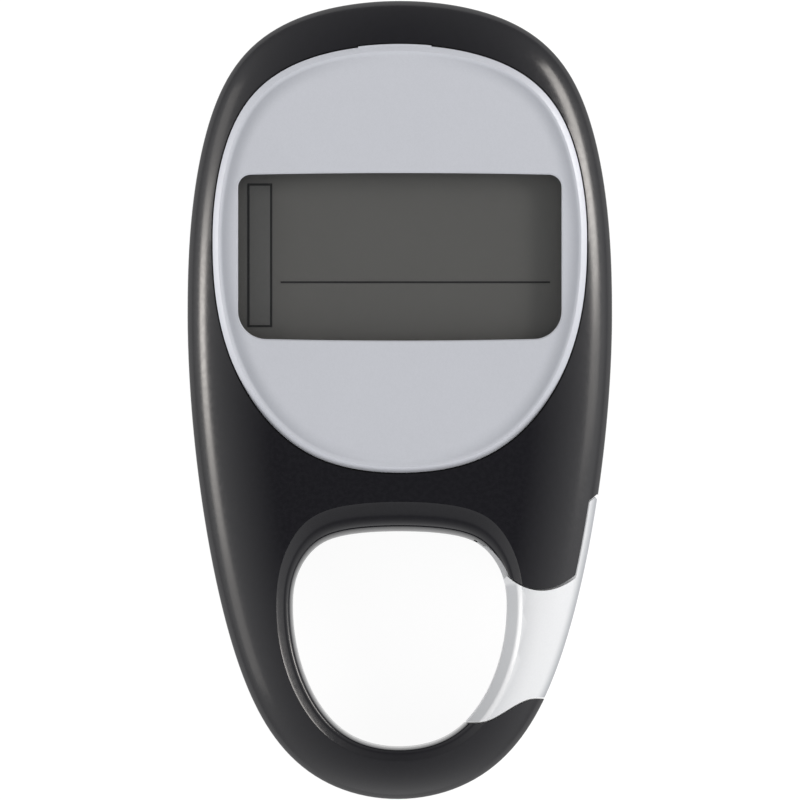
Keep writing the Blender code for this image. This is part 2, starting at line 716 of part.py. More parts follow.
def build_display():
    """The lens, the two-glass panel, its holder and the rubber connector strip."""
    lens = window_outline(
        WINDOW_WIDTH + 2 * LENS_MARGIN, WINDOW_HEIGHT + 2 * LENS_MARGIN,
        LENS_CORNER - SEAT_GAP, LENS_CORNER - SEAT_GAP,
    )
    place("display_lens", prism("display_lens", lens, LENS_LOW, LENS_HIGH), clear_lens)
    half = WINDOW_WIDTH / 2 + LCD_MARGIN
    foot = POD_Y - WINDOW_HEIGHT / 2 - LCD_MARGIN
    head = POD_Y + WINDOW_HEIGHT / 2 + LCD_MARGIN
    ledge = head + LCD_LEDGE
    panel = place(
        "lcd_panel", block("lcd_panel", (-half, foot, LCD_LEDGE_LOW), (half, ledge, LCD_HIGH)), lcd_grey,
    )
    back_half = half - EMBED
    back = block(
        "add_back_glass", (-back_half, foot + EMBED, LCD_LOW), (back_half, head, LCD_LEDGE_LOW + EMBED),
    )
    join(panel, place("add_back_glass", back))
    holder_half = half - HOLDER_MARGIN
    holder_foot, holder_head = foot + HOLDER_MARGIN, head - HOLDER_MARGIN
    holder = place("lcd_holder", block(
        "lcd_holder", (-holder_half, holder_foot, PARTS_LOW),
        (holder_half, holder_head, PARTS_LOW + HOLDER_RISE),
    ), frame_black)
    inside = block(
        "cut_holder", (HOLDER_RAIL - holder_half, holder_foot + HOLDER_RAIL, BOARD_LOW),
        (holder_half - HOLDER_RAIL, holder_head - HOLDER_RAIL, TOP),
    )
    cut(holder, place("cut_holder", inside))
    zebra_foot = head + SEAT_GAP
    strip_half = half - ZEBRA_MARGIN
    place("zebra_strip", block(
        "zebra_strip", (-strip_half, zebra_foot, PARTS_LOW),
        (strip_half, zebra_foot + ZEBRA_WIDTH, LCD_LEDGE_LOW - SEAT_GAP),
    ), rubber_grey)


def build_board():
    """The circuit board, cleared round the posts and the screws, and the parts on its front."""
    edge = -(SEAT_GAP + TONGUE_WALL + SEAT_GAP)
    board = prism("circuit_board", outline_of(grown(CAVITY, edge)), BOARD_LOW, BOARD_HIGH)
    board = place("circuit_board", board, board_green)
    for spot in BOSSED_SCREWS:
        cut(board, boss(spot, BOSS_RADIUS + SEAT_GAP, BOARD_LOW - OVERRUN, BOARD_HIGH + OVERRUN))
    blob = [
        (BLOB_RADIUS * math.sin(turn), HOLDER_RISE * math.cos(turn))
        for turn in (math.radians(90) * step / CORNER_STEPS for step in range(CORNER_STEPS + 1))
    ]
    turned("controller_blob", blob + [(0, 0)], resin_black, (0, POD_Y, PARTS_LOW))
    place_part("step_sensor", SENSOR_PLACE, SENSOR_SIDE, SENSOR_SIDE, SENSOR_RISE, resin_black)
    build_crystal()
    chips = ("capacitor_1", "capacitor_2", "resistor_1", "resistor_2")
    for index, name in enumerate(chips):
        x = CHIP_PITCH * (index - (len(chips) - 1) / 2)
        material = ceramic_tan if name.startswith("capacitor") else resin_black
        place_part(name, (x, CHIP_ROW), CHIP_LENGTH, CHIP_SIDE, CHIP_SIDE, material)


def place_part(name, spot, length, width, rise, material):
    """A small box-shaped part on the front of the board, placed from the display's middle."""
    x, y = spot[0], POD_Y + spot[1]
    low = (x - length / 2, y - width / 2, PARTS_LOW)
    high = (x + length / 2, y + width / 2, PARTS_LOW + rise)
    place(name, block(name, low, high), material)


def build_crystal():
    """The clock crystal's can, lying on the board."""
    half = CRYSTAL_LENGTH / 2
    profile = [
        (0, half), (CRYSTAL_RADIUS - CRYSTAL_EDGE, half), (CRYSTAL_RADIUS, half - CRYSTAL_EDGE),
        (CRYSTAL_RADIUS, -half), (0, -half),
    ]
    at = (CRYSTAL_PLACE[0], POD_Y + CRYSTAL_PLACE[1], PARTS_LOW + CRYSTAL_RADIUS)
    can = turned("crystal_can", profile, bright_steel, at, SCREW_STEPS)
    can.rotation_euler = (0, math.radians(90), 0)


def build_battery():
    """The coin cell and its two contacts."""
    cap_low = BATTERY_THICKNESS - BATTERY_CAP_RISE
    cap_radius = BATTERY_RADIUS - BATTERY_CAP_INSET
    profile = [
        (0, BATTERY_THICKNESS), (cap_radius, BATTERY_THICKNESS),
        (cap_radius, cap_low), (BATTERY_RADIUS - BATTERY_BEVEL, cap_low),
        (BATTERY_RADIUS, cap_low - BATTERY_BEVEL), (BATTERY_RADIUS, BATTERY_BEVEL),
        (BATTERY_RADIUS - BATTERY_BEVEL, 0), (0, 0),
    ]
    turned("battery_cell", profile, cell_can, (0, BATTERY_Y, BATTERY_LOW), WELL_STEPS)
    half = CONTACT_WIDTH / 2
    near = BATTERY_RADIUS + SEAT_GAP
    far = near + CONTACT_THICKNESS
    leaf = place("battery_contact_positive", block(
        "battery_contact_positive", (near, BATTERY_Y - half, BATTERY_LOW + BATTERY_BEVEL + SEAT_GAP),
        (far, BATTERY_Y + half, CONTACT_HIGH),
    ), bright_steel)
    foot = block(
        "add_contact_foot", (near + CONTACT_THICKNESS / 2, BATTERY_Y - half, CONTACT_LOW),
        (near + CONTACT_FOOT, BATTERY_Y + half, CONTACT_HIGH),
    )
    join(leaf, place("add_contact_foot", foot))
    end = CONTACT_LENGTH / 2 - CONTACT_WIDTH / 2
    strip = arc((end, BATTERY_Y), half, -90, 90) + arc((-end, BATTERY_Y), half, 90, 270)
    name = "battery_contact_negative"
    place(name, prism(name, strip, CONTACT_LOW, CONTACT_HIGH), bright_steel)


def build_battery_cover():
    """The round cover with a tab, held by one small screw."""
    main, tab = cover_plan(0)
    shrink = 1 - COVER_BEVEL / (BATTERY_RADIUS + LEDGE_WIDTH)
    face = [(x * shrink, BATTERY_Y + (y - BATTERY_Y) * shrink) for x, y in main]
    levels = [(face, 0), (main, COVER_BEVEL), (main, COVER_THICKNESS)]
    cover = place("battery_cover", stacked("battery_cover", levels), gloss_black)
    join(cover, place("add_tab", prism("add_tab", tab, COVER_BEVEL, COVER_THICKNESS)))
    spot = (0, COVER_SCREW_Y)
    cut(cover, screw_sink(spot, COVER_SCREW_SINK + COVER_SCREW_HEAD_RISE + SEAT_GAP))
    cut(cover, screw_hole(spot, 0, TOP))


def build_buttons():
    """Three buttons that are pressed from the back, and the snap domes they press."""
    stem_high = DOME_LOW - BUTTON_STOP - BUTTON_TRAVEL
    flange_low = BACK_WALL + SEAT_GAP
    flange_high = flange_low + BUTTON_FLANGE_RISE
    flange_radius = BUTTON_RADIUS + BUTTON_FLANGE
    profile = [
        (0, stem_high), (BUTTON_STEM_RADIUS, stem_high), (BUTTON_STEM_RADIUS, flange_high),
        (flange_radius, flange_high), (flange_radius, flange_low), (BUTTON_RADIUS, flange_low),
        (BUTTON_RADIUS, BUTTON_RECESS + BUTTON_BEVEL), (BUTTON_RADIUS - BUTTON_BEVEL, BUTTON_RECESS),
        (0, BUTTON_RECESS),
    ]
    dome = [(0, DOME_RISE), (DOME_RADIUS, DOME_RISE)]
    for step in range(DOME_STEPS, -1, -1):
        share = step / DOME_STEPS
        dome.append((DOME_RADIUS * share, (DOME_RISE - DOME_RIM) * share ** 2))
    for word, x in BUTTONS.items():
        turned(word + "_button", profile, gloss_black, (x, BUTTON_Y, 0), BUTTON_STEPS)
        turned(word + "_dome", dome, bright_steel, (x, BUTTON_Y, DOME_LOW), BUTTON_STEPS)


def screw_mesh(name, head_rise, length, at):
    """A pan-head screw, head down, with a cross recess in its head."""
    tip = head_rise + length
    profile = [
        (0, tip), (SCREW_RADIUS / 2, tip), (SCREW_RADIUS, tip - SCREW_TIP), (SCREW_RADIUS, head_rise),
        (SCREW_HEAD_RADIUS, head_rise), (SCREW_HEAD_RADIUS, SCREW_HEAD_BEVEL),
        (SCREW_HEAD_RADIUS - SCREW_HEAD_BEVEL, 0), (0, 0),
    ]
    screw = turned(name, profile, bright_steel, (0, 0, 0), SCREW_STEPS)
    wide, narrow = SLOT_LENGTH / 2, SLOT_WIDTH / 2
    for x, y in ((wide, narrow), (narrow, wide)):
        cut(screw, place("cut_cross", block("cut_cross", (-x, -y, -OVERRUN), (x, y, SLOT_DEPTH))))
    settle(screw)
    screw.location = at
    return screw


def build_screws():
    """Five case screws and the battery cover's own."""
    first = screw_mesh("case_screw_1", SCREW_HEAD_RISE, SCREW_LENGTH, (*CASE_SCREWS[0], SCREW_SINK))
    for index, spot in enumerate(CASE_SCREWS[1:], start=2):
        copy = bpy.data.objects.new("case_screw_%d" % index, first.data)
        copy.location = (*spot, SCREW_SINK)
        pieces.objects.link(copy)
    at = (0, COVER_SCREW_Y, COVER_SCREW_SINK)
    screw_mesh("battery_cover_screw", COVER_SCREW_HEAD_RISE, COVER_SCREW_LENGTH, at)


def build_gate(loop):
    """The silver gate: a bar as deep as the case, and a thinner knuckle between the ears."""
    levels = back_levels(GATE_INSET, MIDDLE) + front_levels(GATE_INSET, MIDDLE)[1:]
    gate = place("gate", stacked("gate", levels), bright_silver)
    keep = place("keep_bar", prism("keep_bar", gate_plan(), -OVERRUN, TOP + OVERRUN))
    center = (PIVOT_X, PIVOT_Y)
    knuckle_low = EAR_THICKNESS + SEAT_GAP
    round_end = disc(center, KNUCKLE_RADIUS, WELL_STEPS)
    knuckle = prism("keep_knuckle", round_end, knuckle_low, TOP - knuckle_low)
    join(keep, place("keep_knuckle", knuckle))
    combine(gate, "INTERSECT", keep)
    bore = prism("cut_pin", disc(center, PIN_HOLE_RADIUS), -OVERRUN, TOP + OVERRUN)
    well = prism("cut_well", disc(center, SPRING_WELL_RADIUS), -OVERRUN, knuckle_low + SPRING_WELL_DEPTH)
    relief = block(
        "cut_relief", (PIVOT_X - SPRING_RELIEF / 2, PIVOT_Y, 0),
        (PIVOT_X + SPRING_RELIEF / 2, PIVOT_Y + GATE_REACH, knuckle_low + SPRING_RELIEF_DEPTH),
    )
    tail = block(
        "cut_tail", (PIVOT_X + SPRING_RADIUS - SPRING_SLOT / 2, PIVOT_Y - SPRING_TAIL - SEAT_GAP, 0),
        (PIVOT_X + SPRING_RADIUS + SPRING_SLOT / 2, PIVOT_Y, knuckle_low + SPRING_WELL_DEPTH),
    )
    cut(gate, place("cut_pin", bore), place("cut_well", well))
    cut(gate, place("cut_relief", relief), place("cut_tail", tail), loop)
    hinge = bpy.data.objects.new("gate_hinge", None)
    hinge.location = (PIVOT_X, PIVOT_Y, MIDDLE)
    pieces.objects.link(hinge)
    bpy.context.view_layer.update()
    gate.parent = hinge
    gate.matrix_parent_inverse = hinge.matrix_world.inverted()


def build_pin():
    """The steel pin through both ears and the knuckle."""
    low, high = pin_seat()
    low, high = low + SEAT_GAP, high - SEAT_GAP
    pin = prism("gate_pin", disc((PIVOT_X, PIVOT_Y), PIN_RADIUS), low, high)
    place("gate_pin", pin, bright_steel)


def spring_points():
    """The spring's path: the arm in the case, the coil round the pin, and the tail in the gate."""
    low = EAR_THICKNESS + SEAT_GAP + SPRING_LIFT
    points = [(PIVOT_X, PIVOT_Y + SPRING_ARM, low), (PIVOT_X, PIVOT_Y + SPRING_BEND, low)]
    steps = round(SPRING_TURNS * SPRING_TURN_POINTS)
    for step in range(steps + 1):
        turns = SPRING_TURNS * step / steps
        turn = math.radians(90) + math.tau * turns
        rise = SPRING_PITCH * turns
        x = PIVOT_X + SPRING_RADIUS * math.cos(turn)
        points.append((x, PIVOT_Y + SPRING_RADIUS * math.sin(turn), low + rise))
    points.append((x, PIVOT_Y - SPRING_TAIL, low + rise))
    return points


def build_spring():
    """The torsion spring that closes the gate."""
    curve = bpy.data.curves.new("gate_spring", "CURVE")
    curve.dimensions = "3D"
    path = spring_points()
    spline = curve.splines.new("POLY")
    spline.points.add(len(path) - 1)
    for point, spot in zip(spline.points, path):
        point.co = (*spot, 1)
    curve.bevel_depth = SPRING_WIRE / 2
    curve.bevel_resolution = WIRE_BEVEL_RESOLUTION
    curve.use_fill_caps = True
    place("gate_spring", curve, bright_steel)


clear_scene()
pieces = new_collection("pedometer")
tools = new_collection("cutters")

gloss_black = new_material("gloss_black", (0.018, 0.018, 0.02), 0.18)
satin_silver = new_material("satin_silver", (0.54, 0.55, 0.58), 0.35, metallic=0.6)
bright_silver = new_material("bright_silver", (0.72, 0.73, 0.75), 0.28, metallic=0.6)
clear_lens = new_material("clear_lens", (0.9, 0.92, 0.93), 0.05, alpha=0.3)
lcd_grey = new_material("lcd_grey", (0.1, 0.1, 0.095), 0.3)
frame_black = new_material("frame_black", (0.02, 0.02, 0.02), 0.5)
rubber_grey = new_material("rubber_grey", (0.25, 0.25, 0.26), 0.7)
board_green = new_material("board_green", (0.02, 0.12, 0.05), 0.4)
resin_black = new_material("resin_black", (0.015, 0.015, 0.015), 0.3)
ceramic_tan = new_material("ceramic_tan", (0.35, 0.24, 0.14), 0.6)
bright_steel = new_material("bright_steel", (0.6, 0.6, 0.6), 0.25, metallic=1.0)
cell_can = new_material("cell_can", (0.62, 0.62, 0.61), 0.3, metallic=1.0)

loop_tool = loop_cutter()
build_front_shell(loop_tool)
build_rear_shell(loop_tool)
build_faceplate()
build_display()
build_board()
build_battery()
build_battery_cover()
build_buttons()
build_screws()
build_gate(loop_tool)
build_pin()
build_spring()
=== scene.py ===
"""The looks of a pocket pedometer whose case ends in a loop with a sprung gate.

Metres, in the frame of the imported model: it lies on its back, +Z points out of the display and
+Y from the loop to the display. Detailed pieces stand in for the plain outer ones, and every
piece gets a procedural finish.
"""

import math
from collections import namedtuple

import bmesh
import bpy
from bpy.props import FloatProperty, FloatVectorProperty, PointerProperty
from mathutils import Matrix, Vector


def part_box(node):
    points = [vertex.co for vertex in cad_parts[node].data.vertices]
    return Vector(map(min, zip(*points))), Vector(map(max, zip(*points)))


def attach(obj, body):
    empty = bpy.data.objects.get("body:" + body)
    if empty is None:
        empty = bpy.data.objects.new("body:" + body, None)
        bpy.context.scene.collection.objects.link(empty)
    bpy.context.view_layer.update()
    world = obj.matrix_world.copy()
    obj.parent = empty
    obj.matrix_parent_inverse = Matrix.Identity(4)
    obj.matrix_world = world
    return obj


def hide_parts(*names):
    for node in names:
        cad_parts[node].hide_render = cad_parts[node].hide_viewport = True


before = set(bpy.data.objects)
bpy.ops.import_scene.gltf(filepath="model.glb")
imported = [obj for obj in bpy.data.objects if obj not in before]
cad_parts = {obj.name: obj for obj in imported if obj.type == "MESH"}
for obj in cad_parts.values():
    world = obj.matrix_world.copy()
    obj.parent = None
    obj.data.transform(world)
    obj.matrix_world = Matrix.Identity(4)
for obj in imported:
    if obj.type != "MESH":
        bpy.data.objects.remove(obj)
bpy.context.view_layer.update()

bl_info = {
    "name": "Pedometer with a gated loop",
    "version": (1, 0, 0),
    "blender": (4, 5, 0),
    "location": "3D View > Sidebar > Pedometer",
    "description": "Builds the detailed pieces, finishes and stage of a pocket pedometer",
    "category": "Add Mesh",
}

MM = 0.001

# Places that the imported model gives
FRONT_LOW, FRONT_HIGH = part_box("front_shell")
PLATE_LOW, PLATE_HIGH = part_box("faceplate")
PIN_LOW, PIN_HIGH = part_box("gate_pin")
LCD_LOW, LCD_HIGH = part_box("lcd_panel")
LENS_LOW, LENS_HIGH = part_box("display_lens")
COVER_LOW, COVER_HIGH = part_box("battery_cover")
CELL_LOW, CELL_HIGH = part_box("battery_cell")
TOP = FRONT_HIGH.z
MIDDLE = TOP / 2
DISPLAY_Y = (LENS_LOW.y + LENS_HIGH.y) / 2
COVER_RADIUS = (COVER_HIGH.x - COVER_LOW.x) / 2
COVER_CENTER = (0, COVER_LOW.y + COVER_RADIUS)
PIVOT = ((PIN_LOW.x + PIN_HIGH.x) / 2, (PIN_LOW.y + PIN_HIGH.y) / 2)
CASE_SCREWS = ["case_screw_%d" % index for index in range(1, 6)]
BUTTONS = ["mode_button", "set_button", "reset_button"]

# Curves of the eggs: share of the way up where each is widest, then the (power, far power, share of
# the far power) by which its upper and its lower half narrow, and how far its foot leans to the right
BODY_CURVES = (0.604, (2.43, 8.7, 0.39), (1.81, 9.1, 0.24))
BODY_LEAN = -0.21 * MM
PLATE_CURVES = (0.549, (2.0, 6.2, 0.42), (2.4, 19.0, 0.083))
LOOP_CURVES = (0.657, (2.3, 14.0, 0.33), (2.04, 12.5, 0.087))
LOOP_LEAN = -0.05 * MM
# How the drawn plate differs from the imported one: half width, top and foot
PLATE_CHANGE = (0.05 * MM, -0.21 * MM, -0.10 * MM)

# The lip's section at the front: share of its width out from the hole, and depth in millimetres
LIP_SECTION = [
    (0.0, 2.58), (0.012, 2.28), (0.04, 1.88), (0.08, 1.46), (0.12, 1.14), (0.16, 0.88), (0.20, 0.715),
    (0.25, 0.61), (0.30, 0.535), (0.35, 0.48), (0.40, 0.442), (0.45, 0.418), (0.50, 0.405), (0.54, 0.395),
    (0.58, 0.37), (0.66, 0.31), (0.75, 0.24), (0.85, 0.157), (0.95, 0.075), (0.985, 0.04), (1.0, -0.005),
]
# The gate's own lip: one even slope from the hole, then a rounded crest
GATE_LIP_SECTION = [
    (0.0, 1.65), (0.02, 1.45), (0.34, 0.905), (0.60, 0.465), (0.67, 0.345), (0.70, 0.29), (0.92, 0.058),
    (0.97, 0.014), (1.0, -0.005),
]
# How far the back lip's round starts below the back, and how much wider the cutter's end is
BACK_LIP_SINK = 0.002 * MM
HOLE_CLEARANCE = 1.03

# Slack and overlaps that pieces share
EMBED = 0.2 * MM
SLACK = 0.3 * MM
HAIR = 0.01 * MM

# Inside the case: walls, posts, holes, and rings round the battery
TOP_WALL = 1.8 * MM
LOOP_ROOF = 3.1 * MM
OPENING_SLACK = 0.2 * MM
OPENING_CORNER = 1.0 * MM
POST_RADIUS = 2.1 * MM
PILOT_RADIUS = 0.82 * MM
PILOT_END = 0.1 * MM
PILOT_FOOT = 0.5 * MM
HEAD_HOLE_RADIUS = 1.55 * MM
SINK_EDGE = 0.2 * MM
SINK_DEPTH = 0.95 * MM
CELL_BORE = (CELL_HIGH.x - CELL_LOW.x) / 2 + SLACK
COVER_SEAT = COVER_HIGH.z + SLACK
SEAT_RING = 2.5 * MM
SEAT_RISE = 0.9 * MM
WELL_RING = 1.2 * MM
WELL_RISE = 0.4 * MM
TAB_RADIUS = 2.6 * MM
TAB_SEAT_RADIUS = 4.1 * MM
TAB_SEAT_RISE = 1.1 * MM
NOTCH_DEPTH = 2.2 * MM
NOTCH_HALF = 2.1 * MM
DISH_RADIUS = 3.4 * MM
DISH_FLARE = (1.02, 1.06)

# The gate's hinge: lengths from the pivot, and angles round it in degrees
PIN_HOLE_RADIUS = 1.25 * MM
PIN_PLAY = 0.05 * MM
GATE_REACH = 8.0 * MM
NOSE_START = -5.8 * MM
NOSE_RUN = 5.2 * MM
NOSE_RISE = 2.15 * MM
EAR_CORNER = (5.12 * MM, 0.71 * MM)
NEAR_EAR = (-5.1 * MM, -5.0 * MM, 0, -0.4 * MM)
EAR_START = 207
EAR_END = 335
SHOULDER_START = 226
SQUEEZE_START = 262
SQUEEZE_SPAN = 42
KNUCKLE_NECK = (4.75 * MM, 150, 398.5)
POCKET_NECK = (5.0 * MM, 120, 399.3)
SPRING_WELL_RADIUS = 2.6 * MM
SPRING_WELL_DEPTH = 2.8 * MM
SPRING_RELIEF = (-1.8 * MM, 0, 1.8 * MM, 8.0 * MM)
SPRING_RELIEF_DEPTH = 1.4 * MM
SPRING_SLOT = (1.35 * MM, -3.8 * MM, 2.35 * MM, 0)
SPRING_NOTCH = (-0.5 * MM, 0, 0.5 * MM, 6.8 * MM)

# Where painted shade greys the gate: past the lip, and on the lip's slope below the ear
CREST_SHADE = 0.34
CREST_FADE = 1.6 * MM
CREST_LINE = 0.04 * MM
SLOPE_SHADE = 0.45
SLOPE_PART = 0.64
SLOPE_TOP = 4.2 * MM

# The plate's edge: how far in, and how deep as a share of the edge's height
PLATE_FOOT = ((0, 1.3), (0.015 * MM, 1.12), (0.06 * MM, 1))
PLATE_BROW = ((0, 0.1), (0.04 * MM, 0.03))
TAB_DROP = 0.8
# The side of the plate's groove: shares of its width and of its depth
VALLEY_SIDE = ((0, 0), (0.3, 0.25), (0.65, 0.8), (1, 1))
# Where the painted shade in the groove runs: how far out of its middle, more to the right, and up to which
# share
GROOVE_SHIFT = (0.025 * MM, 0.075 * MM)
GROOVE_SPAN = 0.8
# The grey that painted shade multiplies into the plate's groove and the gate's edges
PAINTED_SHADE_GREY = (0.2, 0.22, 0.25, 1)

# The display's glass, and what is printed on it
LENS_CORNER = 0.9 * MM
LENS_EDGE = 0.08 * MM
GLASS_EDGE = 0.06 * MM
GLASS_STEP = 0.2 * MM
GLASS_LEDGE = 2.2 * MM
BAR_FRAME = ((-13.55 * MM, 6.46 * MM), (-11.33 * MM, 19.24 * MM))
RULE = ((-10.59 * MM, 10.375 * MM), (13.35 * MM, 10.545 * MM))
PRINT_LINE = 0.2 * MM
PRINT_TOP = 0.03 * MM
FILM_FOOT = 0.005 * MM
FILM_TOP = 0.02 * MM
FILM_EDGE = 0.004 * MM

# The battery cover, with its grip of five grooves
COVER_EDGE = 0.25 * MM
COVER_EDGE_BEND = 0.3
COVER_SINK = 0.85 * MM
GRIP_HALVES = (4.3 * MM, 4.65 * MM, 5.0 * MM, 4.65 * MM, 4.3 * MM)
GRIP_START = 3.4 * MM
GRIP_PITCH = 0.75 * MM
GRIP_RADIUS = 0.22 * MM
GRIP_FLOOR_RADIUS = 0.1 * MM
GRIP_DEPTH = 0.18 * MM

# A button: (radius, height above its face) over its dome, then (radius, low, high) of its flange
BUTTON_RADIUS = 2.0 * MM
BUTTON_DOME = (
    (0.5 * MM, 0.03 * MM), (1.1 * MM, 0), (1.6 * MM, 0), (1.8 * MM, 0.05 * MM), (1.93 * MM, 0.14 * MM),
    (BUTTON_RADIUS, 0.28 * MM),
)
BUTTON_FLANGE = (2.8 * MM, 1.6 * MM, 2.2 * MM)
BUTTON_STEM = 1.0 * MM

# A screw: (how far in, height) over its head's edge, then its shank, its thread's turns as
# (how far in, share of the pitch), and its cross
SCREW_EDGE = ((0.4 * MM, 0), (0.22 * MM, 0.04 * MM), (0.08 * MM, 0.13 * MM), (0, 0.28 * MM))
LONG_HEAD = 0.8 * MM
SHORT_HEAD = 0.6 * MM
SHANK_RADIUS = 0.7 * MM
THREAD_PITCH = 0.5 * MM
THREAD_TURN = ((0.12 * MM, 0), (0, 0.4), (0.12 * MM, 0.8))
THREAD_END = 0.8 * MM
SCREW_POINT = 0.4 * MM
CROSS_HALF = (0.75 * MM, 0.16 * MM)
CROSS_TAPER = 0.6
CROSS_DEPTH = 0.45 * MM

# The stage
WHITE = (1, 1, 1, 1)
FLOOR_SIZE = 4.0
FLOOR_LIGHT = (0.8, 0.8, 0.8, 1)
FLOOR_ROUGH = 0.9
FLOOR_DROP = 0.05 * MM
FLOOR_PAPER = (0.16, 0.16, 0.16, 1)
FLOOR_GLOW = 0.93
# The room's light at its sides grows between two rises from one share to another, and fades towards
# the top of the picture; its light at the horizon gathers there by a power
SIDE_SKY_LIFT = (0.0, 0.4, 0.45, 1.0)
SIDE_SKY_FADE = 0.7
LOW_SKY_POWER = 4.0
# Nested lamps of each side, which make a highlight with soft ends:
# direction in degrees, half the angle it spans sideways, height in metres, share of the radiance
LEFT_LAMPS = [
    (179.3, 3.5, 0.075, 0.42), (179.3, 6, 0.087, 0.26), (180, 10, 0.104, 0.20), (177, 26, 0.15, 0.085),
]
RIGHT_LAMPS = [(23, 17, 0.104, 0.60), (10.5, 6, 0.087, 0.28), (14, 17, 0.15, 0.12)]
LEFT_RISE = 31
RIGHT_RISE = 34.5
LAMP_DISTANCE = 0.5
LAMP_SPACING = 0.005
LEFT_TINT = (1.0, 0.95, 0.90)
RIGHT_TINT = (1.0, 0.955, 0.91)
CAMERA_SENSOR = 36.0
CAMERA_CLIP_END = 20.0

# Counts of corners and steps
BODY_POINTS = 256
PLATE_POINTS = 224
LOOP_POINTS = 200
FINE_STEPS = 2000
CROWN_STEPS = 20
EDGE_STEPS = 3
BACK_STEPS = 12
LIP_STEPS = 9
FIELD_STEPS = 5
CORNER_STEPS = 10
ARC_STEPS = 48
NOSE_STEPS = 24
ROUND_STEPS = 64
PILOT_STEPS = 24
POST_STEPS = 32
HEAD_STEPS = 40
SCREW_STEPS = 32
WELL_STEPS = 128
BEVEL_STEPS = 2
INSET_HALVINGS = 40

# Angles: a wall's normal seen from upright, and how sharp an edge stays when it is shaded smooth
WALL = math.radians(90)
SMOOTH_ANGLE = math.radians(24)
SOFT_ANGLE = math.radians(40)

Egg = namedtuple("Egg", "half_width top foot widest upper lower points lean")


def length(name, size_mm, description):
    """A length that the user may change, given in millimetres."""
    return FloatProperty(
        name=name, default=size_mm * MM, description=description, unit="LENGTH", subtype="DISTANCE",
        precision=5,
    )


def share(name, value, description):
    """A share or other plain number that the user may change."""
    return FloatProperty(name=name, default=value, description=description, precision=4)


def colour(name, value, description):
    """A colour that the user may change, in linear light."""
    return FloatVectorProperty(
        name=name, default=value, description=description, subtype="COLOR", size=3, min=0, max=1,
    )


class CaseSizes(bpy.types.PropertyGroup):
    """Sizes of the black case."""
    crown_reach: length("Crown reach", 7.3, "Half width of the oval that the front's curve follows")
    crown_rise: length("Crown rise", 3.15, "Half height of that oval")
    crown_cut: length("Crown cut", 0.25, "How much of that oval the side wall cuts off")
    crown_edge: length("Crown edge", 0.3, "Radius between the side wall and the front's curve")
    wall_draft: length("Wall draft", 0.04, "How much the side wall leans in")
    back_roll: length("Back roll", 2.6, "How far in the back's rounded edge reaches")
    seam_gap: length("Seam gap", 0.06, "Width of the line between front and rear case")
    seam_edge: length("Seam edge", 0.06, "Chamfer at each side of the seam")
    fit_gap: length("Fit gap", 0.12, "Visible gap round the plate, the cover and the buttons")
    recess_depth: length("Recess depth", 1.1, "Depth of the face plate's recess")
    dish_depth: length("Dish depth", 0.5, "Depth of the dish round the buttons")
    side_wall: length("Side wall", 1.7, "Thickness of the case's side wall")
    back_wall: length("Back wall", 1.3, "Thickness of the back")
    ceiling_depth: length("Ceiling depth", 1.9, "Depth of the front's inner ceiling below its top")


class LoopSizes(bpy.types.PropertyGroup):
    """Sizes of the loop, its lip and its gate."""
    half_width: length("Half width", 9.52, "Half the width of the loop's opening")
    top: length("Top", -11.67, "Height in plan of the opening's top")
    foot: length("Foot", -30.87, "Height in plan of the opening's foot")
    lip_side: length("Lip side", 1.46, "Width of the lip at the sides")
    lip_top: length("Lip top", 2.67, "Width of the lip at the top")
    lip_foot: length("Lip foot", 1.15, "Width of the lip at the foot")
    back_lip: length("Back lip", 0.9, "Depth of the lip's round at the back")
    ear_radius: length("Ear radius", 4.54, "Radius of the ear over the gate's hinge")
    ear_squeeze: length("Ear squeeze", 0.22, "How much that radius shrinks towards the outer side")
    shoulder_squeeze: length("Shoulder squeeze", 0.15, "The same for the gate's shoulder beside it")
    ear_set_back: length("Ear set-back", 0.55, "How far the front ear stands back from the hole's edge")
    ear_thickness: length("Ear thickness", 1.6, "Thickness of each ear")
    knuckle_radius: length("Knuckle radius", 5.87, "Radius of the gate's knuckle")
    gate_inset: length("Gate inset", 0.03, "How far the gate stands back from the outline")
    # The gate's outer edge is greyed by painted shade, over this distance in from the outline
    edge_painted_shade: length("Edge shade", 0.8, "How far in the gate's paint is greyer at its outer edge")
    gate_gap: length("Gate gap", 0.14, "Visible gap between gate and case")


class PanelSizes(bpy.types.PropertyGroup):
    """Sizes of the silver face plate and its window."""
    edge: length("Edge", 0.45, "Width of the sloping outer edge")
    edge_drop: length("Edge drop", 0.3, "Height of the sloping outer edge")
    rim: length("Rim", 0.52, "How far in the raised rim's crest reaches")
    valley: length("Valley", 0.88, "How far in the groove inside the rim lies")
    valley_depth: length("Valley depth", 0.09, "Depth of that groove")
    tab_left: length("Tab left", -3.7, "Left end of the shallow tab at the plate's top")
    tab_right: length("Tab right", 2.8, "Right end of that tab")
    tab_rise: length("Tab rise", 0.09, "How far that tab stands out")
    field: length("Field", 2.1, "How far in the level field starts")
    field_drop: length("Field drop", 0.06, "How far the field lies below the rim")
    window_width: length("Window width", 28.72, "Width of the window")
    window_height: length("Window height", 14.88, "Height of the window")
    window_lift: length("Window lift", -0.09, "How far the window lies above the display's middle")
    window_top_corner: length("Top corner", 1.15, "Radius of the window's upper corners")
    window_foot_corner: length("Foot corner", 2.5, "Radius of the window's lower corners")
    window_arch: length("Arch", 0.14, "How much the window's long sides bulge")
    window_edge: length("Window edge", 0.12, "Chamfer round the window")


class FinishColours(bpy.types.PropertyGroup):
    """Colours of the main finishes."""
    gloss_black: colour("Gloss black", (0.0048, 0.0046, 0.0074), "Moulded case")
    satin_silver: colour("Satin silver", (0.595, 0.616, 0.672), "Painted face plate")
    bright_silver: colour("Bright silver", (0.80, 0.816, 0.84), "Painted gate")
    lcd_grey: colour("Display grey", (0.134, 0.134, 0.130), "Blank display")
    print_black: colour("Print black", (0.012, 0.012, 0.014), "Lines printed on the display")


